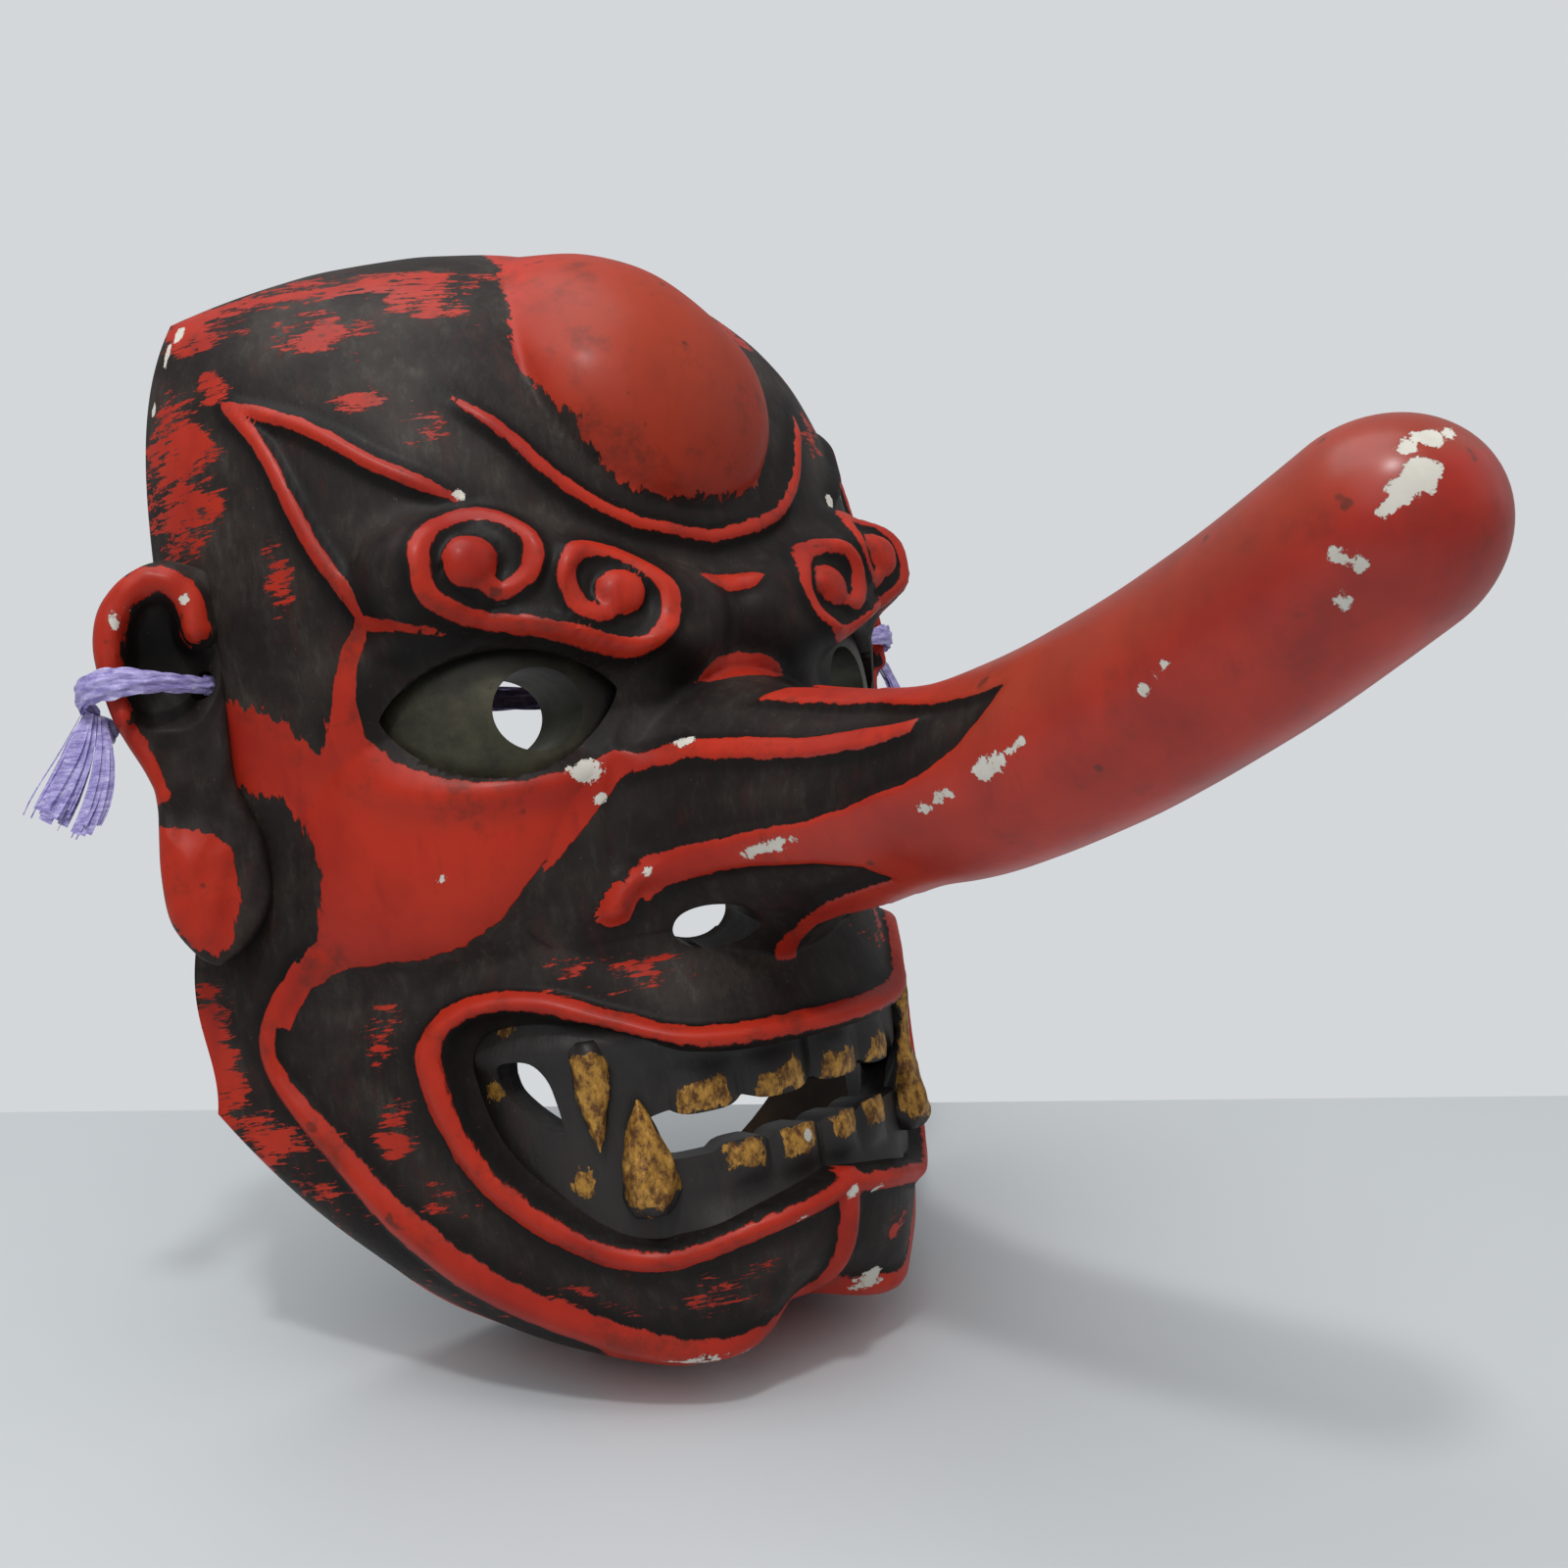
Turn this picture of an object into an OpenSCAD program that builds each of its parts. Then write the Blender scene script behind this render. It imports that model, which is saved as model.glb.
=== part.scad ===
// Long-nosed goblin mask of carved and lacquered wood, worn or hung by a tape strap.
// Frame: the back rim lies in the plane y = 0, the face looks along -y, z is up from pupil level.

/* [Face] */
// Half the width of the face over its side rims
half_w = 92; // [84:1:100]
// Height of the top edge above pupil level
top_h = 117; // [108:1:124]
// Depth of the rim below pupil level
bottom_h = 127; // [122:1:134]
// Depth from the rim to the front of the brow
face_d = 74; // [68:1:80]
// Depth from the rim to the lips, before their ridges
muzzle_d = 88; // [84:1:94]
// Thickness of the carved wall
wall = 10; // [8:0.5:12]
// Height of the round boss on the forehead
boss_h = 13; // [8:1:18]
// Height of the brow over the eyes
brow_h = 9; // [6:0.5:12]
// Radius of the raised lip, jaw, scroll and forehead lines
line_r = 2.6; // [2:0.2:3.2]
// Height of the lids round the eyes
lid_h = 3; // [2:0.5:4]

/* [Nose] */
// Depth from the rim to the shoulder where the nose joins the face
root_d = 124; // [116:1:132]
// Length of the nose beyond that shoulder
nose_l = 117; // [90:1:140]
// Radius of the nose at its shoulder
nose_r = 19; // [16:0.5:21]
// Radius of the nose at its tip
tip_r = 17; // [14:0.5:20]
// Rise of the nose from shoulder to tip
nose_rise = 33.5; // [0:0.5:40]
// Height of the nose's axis below pupil level
nose_drop = 27; // [25:0.5:29]
// Radius of the tenon that enters the face
tenon_r = 10; // [7:0.5:12]
// Radius of the pin that locks the tenon behind the face
pin_r = 3; // [2:0.25:4]
// Length of that pin
pin_l = 44; // [36:1:50]

/* [Eyes] */
// Distance of each eye's centre from the middle of the face
eye_x = 47; // [45:0.5:49]
// Radius of the domed eye disc
eye_r = 25; // [24:0.5:26]
// Rise of the dome over the disc's edge
dome_h = 7; // [5:0.5:8]
// Thickness of the disc at its edge
eye_t = 9; // [7:0.5:11]
// Radius of the pupil that the wearer looks through
pupil_r = 8.5; // [6:0.5:10]
// Angle by which each eye looks outwards
eye_turn = 32; // [30:1:34]

/* [Mouth] */
// Radius of the arc that the teeth stand on
arch_r = 60; // [58:0.5:61]
// Thickness of each tooth bar
bar_t = 8; // [6:0.5:10]
// Height of the open slot between the tooth rows
slot_h = 7; // [5:0.5:9]
// Radius of an upper front tooth
tooth_r = 6.5; // [5:0.25:7]
// Radius of a lower front tooth
low_tooth_r = 5.5; // [4.5:0.25:5.75]
// Radius of an upper fang at its root
fang_r = 4.25; // [3.5:0.25:5]
// Radius of a lower fang at its root
low_fang_r = 5.75; // [4:0.25:6]
// Length of a fang
fang_l = 19; // [15:0.5:22]
// Radius of the nostril bores
nostril_r = 5.5; // [4:0.25:7]

/* [Ears] */
// Height of the ear's top above pupil level
ear_top = 43; // [40:1:46]
// Depth of the ear's lobe below pupil level
ear_low = 40; // [38:1:42]
// Reach of the ear from the side of the face
ear_w = 24; // [22:0.5:26]
// Thickness of the ear
ear_t = 7; // [6:0.5:8]
// Radius of the pegs that hold each ear
peg_r = 2; // [1.5:0.25:2.5]
// Radius of the holes that the strap comes out of
strap_hole_r = 3; // [2.5:0.1:4]

/* [Strap] */
// Diameter of the gathered tape
tape_d = 3; // [2:0.25:4]

/* [Hidden] */
$fn = 48;
fit = 0.1;
lacquer_red = "#b8321f";
worn_black = "#2e2724";
gilt = "#b5863a";
bronze = "#4a4531";
bare_wood = "#a98258";
tape_lilac = "#9d8fcf";

// Share by which all that lies below pupil level follows the depth of the rim
low_k = bottom_h / 127;
mid_z = -20;
eye_z = 1;
face_cols = 48;
face_rows = 68;

// Smooth step from 0 at a to 1 at b
function ease(x, a, b) = let (k = max(0, min(1, (x - a) / (b - a)))) k * k * (3 - 2 * k);
// Rounded hill of unit height on an ellipse
function hill(u, z, cu, cz, ru, rz, p) = pow(max(0, 1 - pow((u - cu) / ru, 2) - pow((z - cz) / rz, 2)), p);
// Distance from a point to a run of straight pieces
function piece_gap(p, a, b) =
    let (d = b - a, k = max(0, min(1, (p - a) * d / (d * d)))) norm(p - a - k * d);
function path_gap(p, path) = min([for (i = [1:len(path) - 1]) piece_gap(p, path[i - 1], path[i])]);

// Depth of the bare face on its middle line, and how sharply it falls to the sides, by height
function mid_depth(z) = lookup(z, [[-140 * low_k, muzzle_d - 5], [-106 * low_k, muzzle_d - 3],
    [-72 * low_k, muzzle_d], [-48 * low_k, face_d + 3], [0, face_d]]);
function side_power(z) = lookup(z, [[-140 * low_k, 1.35], [-105 * low_k, 1.3], [-65 * low_k, 1.2], [0, 0.68],
    [30, 0.5]]);

// Point of the bare surface: a runs round the face and b up it, both from -90 to 90 at the rim
function bare(a, b, inset = 0) =
    let (t = sin(a), v = sin(b), up = max(v, 0), down = max(-v, 0))
    let (z_top = top_h - inset - 19 * t * t)
    let (z_low = inset - bottom_h + 36 * t * t + 20 * pow(t, 4))
    let (k = max(0, min(1, (-b - 40) / 50)))
    let (jaw = 21 * (1 - t * t) * (0.3 + 0.7 * ease(abs(t), 0.02, 0.3)) * 6.75 * k * k * (1 - k))
    let (z = mid_z + up * (z_top - mid_z) + down * (z_low - mid_z) - jaw)
    let (x = (half_w - inset - 12 * pow(up, 6) + 4 * pow(sin(180 * down), 2) + 3.5 * pow(down, 3)) * t)
    let (rise = v > 0 ? sqrt(max(0, 1 - pow(up, 3.5))) : pow(max(0, 1 - pow(down, 18)), 0.45))
    [x, -(mid_depth(z) - inset) * pow(max(0, 1 - t * t), side_power(z)) * rise, z];

// Depth of the bare surface over a point of the front view
function face_depth(x, z) =
    mid_depth(z) * pow(1 - pow(x / half_w, 2), side_power(z))
    * sqrt(1 - pow(max(0, (z - mid_z) / (top_h - mid_z)), 3.5));

// Carved lines, as distance round the face from its middle line and height
function lowered(path) = [for (p = path) [p[0], p[1] * low_k]];
lip_upper = lowered([[62, -62], [56, -57], [46, -58], [36, -64], [24, -70], [0, -71]]);
lip_lower = lowered([[62, -62], [63, -72], [58, -89], [47, -104], [34, -112], [18, -109], [0, -105]]);
jaw_line = lowered([[86, -42], [95, -60], [84, -80], [66, -103], [46, -119], [24, -131], [0, -127]]);
chin_line = lowered([[0, -103], [0, -113], [0, -126]]);
arch_line = [[46, 67], [38, 58], [30, 47], [18, 38], [0, 33.5]];
temple_lines = [[[50, 45], [64, 54], [78, 65], [96, 73]], [[96, 73], [88, 63], [80, 39], [71, 23]]];
brow_line = [[60, 30], [46, 29], [26, 20], [13, 16]];
scroll_line = [[48.5, 27], [46, 24.5], [41.5, 26.5], [39.5, 31.5], [41.5, 37], [47.5, 40.5], [55, 38.5],
    [59, 32], [58, 26], [54, 22], [49.5, 19.5], [40, 16.5], [33, 13.5], [26.5, 10.5], [22, 10.5], [18, 14],
    [16.5, 18], [16.5, 22], [20, 27.5], [25, 30.5], [31.5, 30.5], [34.5, 26.5], [33.5, 20.5], [29.5, 17.5],
    [27, 19]];
scroll_eyes = [[50.5, 30.5], [25, 21.5]];

// Height of the carving over the bare surface
function carving(u, z) =
    let (p = [abs(u), z])
    boss_h * hill(p[0], z, 0, 72, 29, 31, 0.7)
    + brow_h * exp(-pow(path_gap(p, brow_line) / 11, 4))
    + lid_h * exp(-pow((norm([(p[0] - 45) / 28, (z - eye_z) / 15]) - 1) * 3.5, 2))
    + 6 * hill(p[0], z, 58, -24 * low_k, 32, 25, 1)
    + 5 * hill(p[0], z, 27, -40 * low_k, 15, 13, 1);

// Distance round the face for one degree of a
round_step = 1.46;

// Point of the carved surface, or of one lifted off it
function carved(a, b, lift = 0) =
    let (p = bare(a, b), s = 0.5)
    let (n = cross(bare(a + s, b) - bare(a - s, b), bare(a, b + s) - bare(a, b - s)))
    let (h = abs(a) > 89 || abs(b) > 89 ? 0 : lift + carving(round_step * a, p[2]) * ease(-p[1], 1, 14))
    h == 0 ? p : p + n / norm(n) * h;

// The same for a point given by its distance round the face and its height, found by halving
function find_b(a, z, low = -73, high = 89, left = 14) =
    let (b = (low + high) / 2)
    left == 0 ? b : bare(a, b)[2] > z ? find_b(a, z, low, b, left - 1) : find_b(a, z, b, high, left - 1);
function on_face(p, lift = 0) = let (a = p[0] / round_step) carved(a, find_b(a, p[1]), lift);

// Smooth curve through a path, open or closed, and a half path carried over to the other side
function bend(p, q, r, s, k) =
    (2 * q + (r - p) * k + (2 * p - 5 * q + 4 * r - s) * k * k + (3 * q - p - 3 * r + s) * k * k * k) / 2;
function curve(path, n) = let (last = len(path) - 1) concat([for (i = [0:last - 1], j = [0:n - 1])
    bend(path[max(i - 1, 0)], path[i], path[i + 1], path[min(i + 2, last)], j / n)], [path[last]]);
function loop(path, n) = let (c = len(path)) [for (i = [0:c - 1], j = [0:n - 1])
    bend(path[(i + c - 1) % c], path[i], path[(i + 1) % c], path[(i + 2) % c], j / n)];
function reversed(path) = [for (i = [len(path) - 1:-1:0]) path[i]];
function inner(path) = [for (i = [1:len(path) - 2]) path[i]];
function mirrored(path) = [for (p = path) [-p[0], p[1]]];
function whole(half) = concat(half, mirrored(reversed([for (i = [0:len(half) - 2]) half[i]])));
mouth_ring = concat(whole(lip_upper), inner(reversed(whole(lip_lower))));

// Even steps from -90 to 90, drawn closer in the middle
function spread(i, n, mid) = let (s = 2 * i / n - 1) 90 * (mid * s + (1 - mid) * s * s * s);

// Closed solid between a fine front grid and a back grid with every second line of it
module relief_solid(front, back) {
    m = len(front) - 1;
    n = len(front[0]) - 1;
    bm = m / 2;
    bn = n / 2;
    first_back = (m + 1) * (n + 1);
    function f(i, j) = i * (n + 1) + j;
    function g(i, j) = first_back + i * (bn + 1) + j;
    // Each square is split along its shorter diagonal, so that ridges stay unbroken
    function split(i, j) =
        norm(front[i][j] - front[i + 1][j + 1]) < norm(front[i + 1][j] - front[i][j + 1]);
    // Two rim steps of the front meet one step of the back
    function seam(a, b, c, p, q) = [[a, b, p], [b, q, p], [b, c, q]];
    function turned(faces) = [for (t = faces) [t[0], t[2], t[1]]];
    points = concat([for (row = front, p = row) p], [for (row = back, p = row) p]);
    squares = [for (i = [0:m - 1], j = [0:n - 1]) each split(i, j)
        ? [[f(i, j), f(i, j + 1), f(i + 1, j + 1)], [f(i, j), f(i + 1, j + 1), f(i + 1, j)]]
        : [[f(i, j), f(i, j + 1), f(i + 1, j)], [f(i, j + 1), f(i + 1, j + 1), f(i + 1, j)]]];
    inside = [for (i = [0:bm - 1], j = [0:bn - 1])
        each [[g(i, j), g(i + 1, j + 1), g(i, j + 1)], [g(i, j), g(i + 1, j), g(i + 1, j + 1)]]];
    along = [for (i = [0:bm - 1]) each concat(
        seam(f(2 * i, 0), f(2 * i + 1, 0), f(2 * i + 2, 0), g(i, 0), g(i + 1, 0)),
        turned(seam(f(2 * i, n), f(2 * i + 1, n), f(2 * i + 2, n), g(i, bn), g(i + 1, bn))))];
    across = [for (j = [0:bn - 1]) each concat(
        turned(seam(f(0, 2 * j), f(0, 2 * j + 1), f(0, 2 * j + 2), g(0, j), g(0, j + 1))),
        seam(f(m, 2 * j), f(m, 2 * j + 1), f(m, 2 * j + 2), g(bm, j), g(bm, j + 1)))];
    polyhedron(points, concat(squares, inside, along, across), convexity = 8);
}

// One tube through a run of points, with a radius at each of them; side_of sets where its first side lies
module tube(route, radii, sides, side_of = [0.1, 0.25, 1], closed = false) {
    count = len(route);
    last = count - 1;
    function next(i) = closed ? (i + 1) % count : min(i + 1, last);
    function before(i) = closed ? (i + last) % count : max(i - 1, 0);
    function way(i) = let (d = route[next(i)] - route[before(i)]) d / norm(d);
    function side(i) = let (s = cross(way(i), side_of)) s / norm(s);
    points = [for (i = [0:last], k = [0:sides - 1]) let (a = 360 * k / sides)
        route[i] + radii[i] * (cos(a) * side(i) + sin(a) * cross(way(i), side(i)))];
    walls = [for (i = [0:closed ? last : last - 1], k = [0:sides - 1])
        let (n = (k + 1) % sides, p = i * sides, q = next(i) * sides)
        each [[p + k, q + n, p + n], [p + k, q + k, q + n]]];
    ends = closed ? [] : [[for (k = [0:sides - 1]) k], [for (k = [sides - 1:-1:0]) last * sides + k]];
    polyhedron(points, concat(walls, ends));
}

// Raised line along a path on the face, thinner towards its two ends
module bead(path, r, closed = false) {
    last = len(path) - 1;
    function thin(i) = closed ? 1 : min(1, 0.4 + 0.3 * min(i, last - i));
    tube([for (p = path) on_face(p)], [for (i = [0:last]) r * thin(i)], 6, [0, -1, 0], closed);
}

// All raised lines of the carving
module lines() {
    bead(loop(mouth_ring, 2), line_r, true);
    bead(curve(whole(jaw_line), 2), line_r);
    bead(curve(whole(arch_line), 2), line_r);
    bead(curve(chin_line, 2), line_r);
    both_sides() {
        for (path = temple_lines) bead(curve(path, 2), line_r);
        bead(curve(scroll_line, 2), 0.9 * line_r);
        for (p = scroll_eyes) translate(on_face(p, -line_r)) sphere(2 * line_r);
    }
}

// Places a child on the nose's axis, with its z along the way that the face looks
module on_nose_axis(depth) {
    translate([0, -depth, -nose_drop]) rotate([90, 0, 0]) children();
}

root_back = mid_depth(-nose_drop) - wall + 1.5;
flare_r = 37;
tail_l = 2 * pin_r + 3;

// Flared root that carries the nose, turned about the nose's axis
module nose_root() {
    steps = 10;
    start = face_d - wall / 2;
    function depth(k) = face_d - 3 + (root_d - face_d + 3) * pow(1 - k, 2);
    flare = [for (i = [steps:-1:0]) [nose_r + (flare_r - nose_r) * i / steps, depth(i / steps)]];
    on_nose_axis(0) rotate_extrude() polygon(concat([[0, start], [flare_r, start]], flare, [[0, root_d]]));
}

eye_sink = 5.5;
eye_depth = face_depth(eye_x, eye_z) - eye_sink;
dome_r = (eye_r * eye_r + dome_h * dome_h) / (2 * dome_h);

// Places a child at the right eye, with its z outwards along the eye's own axis
module at_eye() {
    translate([-eye_x, -eye_depth, eye_z]) rotate([0, 0, -eye_turn]) rotate([90, 0, 0]) children();
}

// Domed disc with its edge in the plane z = 0, or the pocket for it
module eye_disc(back, gap = 0) {
    intersection() {
        translate([0, 0, -back]) cylinder(r = eye_r + gap, h = back + dome_h + gap);
        translate([0, 0, dome_h - dome_r]) sphere(dome_r + gap, $fn = 96);
    }
}

// Almond opening between the lids
module lids() {
    steps = 12;
    function x(i) = (eye_r - 1) * cos(180 * i / steps);
    function bow(i) = pow(sin(180 * i / steps), 1.5);
    linear_extrude(40) polygon(concat([for (i = [0:steps]) [x(i), 2 + 11 * bow(i)]],
        [for (i = [steps - 1:-1:1]) [x(i), 2 - 15 * bow(i)]]));
}

arch_back = muzzle_d - arch_r - 10;
mouth_mid = -88.5 * low_k;
bar_top = 61 * low_k;
bar_low = 110.5 * low_k;
corner_top = 54 * low_k;
bar_end = 72;
corner_slim = 0.5;
corner_from = 48;

// Part of a ring about the mouth's upright axis, between two angles from the middle line
module arc_bar(from, to, low, high, grow = 0) {
    turn = grow / arch_r * 180 / PI;
    span = to - from + 2 * turn;
    translate([0, -arch_back, low - grow]) rotate([0, 0, -90 + from - turn]) rotate_extrude(angle = span)
        translate([arch_r - bar_t - grow, 0]) square([bar_t + 2 * grow, high - low + 2 * grow]);
}

// Places a child on the arc of the teeth
module on_arc(angle, r, z) {
    translate([0, -arch_back, z]) rotate([0, 0, -90 + angle]) translate([r, 0, 0]) children();
}

// Outline of the open mouth, inside the lip ridges
mouth_w = 0.93 * half_w;
mouth_share = 0.84;
function lip_point(p) = [mouth_w * sin(p[0] / round_step), mouth_mid + (p[1] - mouth_mid) * mouth_share];
module mouth_opening() {
    rotate([90, 0, 0]) linear_extrude(2 * muzzle_d) polygon([for (p = mouth_ring) lip_point(p)]);
}

// Bearing of the ears on the sides of the face: a flat bed that leans with the wall
bed_turn = 13.5;
bed_depth = 12;
bed_x = half_w - 2.8;
strap_at = [14, 17];
peg_at = [[9, 33], [10, -27]];

// Places a child on the right ear's bed, with its z outwards
module on_bed(depth, z) {
    translate([-bed_x, -bed_depth, z]) rotate([0, 0, bed_turn]) translate([0, bed_depth - depth, 0])
        rotate([0, -90, 0]) children();
}

module both_sides() {
    children();
    mirror([1, 0, 0]) children();
}

module face_shell() {
    front = [for (i = [0:face_cols]) [for (j = [0:face_rows])
        carved(spread(i, face_cols, 0.85), spread(j, face_rows, 0.75))]];
    back = [for (i = [0:2:face_cols]) [for (j = [0:2:face_rows])
        bare(spread(i, face_cols, 0.85), spread(j, face_rows, 0.75), wall)]];
    color(lacquer_red) difference() {
        union() {
            relief_solid(front, back);
            lines();
            nose_root();
        }
        on_nose_axis(0) cylinder(r = tenon_r + fit, h = root_d + 1);
        on_nose_axis(0) cylinder(r = pin_l / 2 + 2, h = root_back);
        mouth_opening();
        arc_bar(-bar_end, bar_end, -bar_low, -bar_top, fit);
        both_sides() {
            at_eye() eye_disc(40, fit);
            at_eye() lids();
            translate([-15, -muzzle_d / 2, -49 * low_k]) rotate([90, 0, 0]) cylinder(r = nostril_r, h = muzzle_d);
            arc_bar(-bar_end, -corner_from, mouth_mid, -corner_top, fit - corner_slim);
            on_bed(bed_depth, 0) translate([-ear_low - 2, -13, 0]) cube([ear_low + ear_top + 4, 26, 10]);
            on_bed(strap_at[0], strap_at[1]) translate([0, 0, -20]) cylinder(r = strap_hole_r, h = 40);
            for (p = peg_at) on_bed(p[0], p[1]) translate([0, 0, -6]) cylinder(r = peg_r + fit / 2, h = 12);
        }
    }
}

// Axis of the nose by distance from its shoulder: level at first, then rising
nose_rings = 24;
tip_rings = 8;
level_l = (nose_l - tip_r) / (nose_rings - tip_rings - 1);
function nose_axis(s) =
    [0, -root_d - s, -nose_drop + nose_rise * pow(max(0, s - level_l) / (nose_l - level_l), 1.65)];

module nose() {
    round_from = nose_l - tip_r;
    steps = concat([for (i = [0:nose_rings - tip_rings - 1]) level_l * i],
        [for (i = [1:tip_rings]) round_from + tip_r * sin(88 * i / tip_rings)]);
    function radius(s) = s <= round_from ? nose_r + (tip_r - nose_r) * s / round_from
        : sqrt(tip_r * tip_r - pow(s - round_from, 2));
    color(lacquer_red) difference() {
        union() {
            tube([for (s = steps) nose_axis(s)], [for (s = steps) radius(s)], 28);
            on_nose_axis(root_back - tail_l) cylinder(r = tenon_r, h = root_d - root_back + tail_l);
        }
        nose_pin_at() cylinder(r = pin_r + fit / 2, h = pin_l, center = true);
    }
}

module nose_pin_at() {
    translate([0, -(root_back - pin_r), -nose_drop]) rotate([0, 90, 0]) children();
}

module nose_pin() {
    color(bare_wood) nose_pin_at() cylinder(r = pin_r, h = pin_l, center = true);
}

module eye_right() {
    color(bronze) difference() {
        at_eye() eye_disc(eye_t);
        translate([-eye_x + 3.4, 0, eye_z]) rotate([90, 0, 0]) cylinder(r = pupil_r, h = 2 * face_d);
    }
}

module eye_left() {
    mirror([1, 0, 0]) eye_right();
}

// Fangs: angle on the arc, distance in front of it and height of the root
fang_upper = [45, 1.5, -70 * low_k];
fang_lower = [37, 1.5, -98.8 * low_k];
point_r = 1.2;

// Fang with a round root, its point along z
module fang(r, grow = 0) {
    sphere(r + grow);
    cylinder(r1 = r + grow, r2 = point_r + grow, h = fang_l);
}

module upper_fang(grow = 0) {
    on_arc(-fang_upper[0], arch_r + fang_upper[1], fang_upper[2]) rotate([180, 0, 0]) fang(fang_r, grow);
}

module lower_fang(grow = 0) {
    on_arc(-fang_lower[0], arch_r + fang_lower[1], fang_lower[2]) fang(low_fang_r, grow);
}

// Gap between the teeth at each corner of the mouth
gap_at = [58, -77 * low_k];
gap_r = 5;
gap_h = 5;
module corner_gap() {
    on_arc(-gap_at[0], arch_r, gap_at[1]) rotate([0, 90, 0]) {
        for (x = [-gap_h / 2, gap_h / 2])
            translate([x, 0, 0]) cylinder(r = gap_r, h = 3 * bar_t, center = true);
        cube([gap_h, 2 * gap_r, 3 * bar_t], center = true);
    }
}

// Front tooth with a rounded edge, set back a little from z = 0 and standing proud of its bar
tooth_h = 9.6;
tooth_out = 3.5;
tooth_back = 0.4;
module tooth(r) {
    round_edge = [for (a = [0:15:90]) r * [sin(a), 1 - cos(a)]];
    translate([tooth_out - r, 0, tooth_back])
        rotate_extrude() polygon(concat(round_edge, [[r, tooth_h], [0, tooth_h]]));
}

module upper_tooth_bar() {
    slot_top = mouth_mid + slot_h / 2;
    color(worn_black) difference() {
        union() {
            arc_bar(-bar_end, bar_end, slot_top, -bar_top);
            both_sides()
                arc_bar(-bar_end, -corner_from, mouth_mid - corner_slim, -corner_top, -corner_slim);
            for (a = [-24, -8, 8, 24]) on_arc(a, arch_r, slot_top) tooth(tooth_r);
        }
        both_sides() {
            upper_fang(fit);
            lower_fang(fit);
            corner_gap();
        }
    }
}

module lower_tooth_bar() {
    slot_low = mouth_mid - slot_h / 2;
    color(worn_black) difference() {
        union() {
            arc_bar(-bar_end, bar_end, -bar_low, slot_low);
            both_sides()
                arc_bar(-bar_end, -corner_from, -bar_low, mouth_mid + corner_slim, -corner_slim);
            for (a = [-18, -6, 6, 18]) on_arc(a, arch_r, slot_low) mirror([0, 0, 1]) tooth(low_tooth_r);
        }
        both_sides() {
            upper_fang(fit);
            lower_fang(fit);
        }
    }
}

module upper_fangs() {
    color(gilt) both_sides() upper_fang();
}

module lower_fangs() {
    color(gilt) both_sides() lower_fang();
}

// Ear as a leaf that stands out from its bed: w outwards, z up, n towards the front
ear_sweep = 26;
function ear_point(w, z, n) = [-half_w + 4 - w * cos(ear_sweep) - n * sin(ear_sweep),
    -19 + w * sin(ear_sweep) - n * cos(ear_sweep), z];
// Outer and inner edge of the ear as shares of its reach, by share of its height
function ear_outer(q) = ear_w * lookup(q, [[0, 0.42], [0.03, 0.56], [0.12, 0.73], [0.25, 0.75], [0.41, 0.7],
    [0.48, 0.74], [0.61, 0.92], [0.74, 1], [0.83, 1], [0.91, 0.9], [0.97, 0.68], [1, 0.42]]);
function ear_inner(q) = ear_w * lookup(q, [[0, 0.36], [0.05, 0.1], [0.15, -0.1], [0.3, -0.1], [0.45, 0.05],
    [0.7, 0], [0.85, -0.1], [0.95, -0.06], [1, 0.3]]);

// Front of the ear: rolled rim, hollow and lobe, by share of its reach and height
function ear_front(s, q) =
    let (edge = 1 - sqrt(max(0, 1 - pow(2 * s - 1, 8))))
    3 * exp(-pow((s - 0.82) / 0.16, 2)) * ease(q, 0.35, 0.6)
    - 4.5 * hill(s, q, 0.42, 0.75, 0.36, 0.2, 0.6)
    + 3 * hill(s, q, 0.5, 0.18, 0.6, 0.2, 1)
    + 2.5 * exp(-pow((q - 0.96) / 0.05, 2)) - 2.5 * edge;

module ear_right() {
    cols = 10;
    rows = 28;
    function height(j) = let (q = j / rows) q + 0.06 * sin(360 * q) * -1;
    function at(i, j, n) = let (q = height(j), s = 1 - i / cols)
        ear_point(ear_inner(q) + s * (ear_outer(q) - ear_inner(q)), -ear_low + q * (ear_low + ear_top), n);
    front = [for (i = [0:cols]) [for (j = [0:rows]) at(i, j, ear_front(1 - i / cols, height(j)))]];
    back = [for (i = [0:2:cols]) [for (j = [0:2:rows]) at(i, j, -ear_t)]];
    color(lacquer_red) difference() {
        relief_solid(front, back);
        on_bed(bed_depth, 0) translate([-2 * ear_low, -40, -40]) cube([4 * ear_low, 80, 40 + fit]);
        on_bed(strap_at[0], strap_at[1]) translate([0, 0, -20]) cylinder(r = strap_hole_r, h = 40);
        for (p = peg_at) on_bed(p[0], p[1]) translate([0, 0, -6]) cylinder(r = peg_r + fit / 2, h = 11);
    }
}

module ear_left() {
    mirror([1, 0, 0]) ear_right();
}

module ear_pegs() {
    color(bare_wood) both_sides() for (p = peg_at)
        on_bed(p[0], p[1]) translate([0, 0, -6]) cylinder(r = peg_r, h = 10.8);
}

// Right half of the strap's way across the back, from its hole to the middle
strap_half = [[-90.5, -14.2, 17], [-84, -12.6, 17], [-77, -11, 16.8], [-68, -9.4, 16], [-56, -8.4, 14.6],
    [-42, -7.8, 12.6], [-28, -7.4, 11], [-14, -7.1, 10.1], [0, -7, 9.8]];
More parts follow.
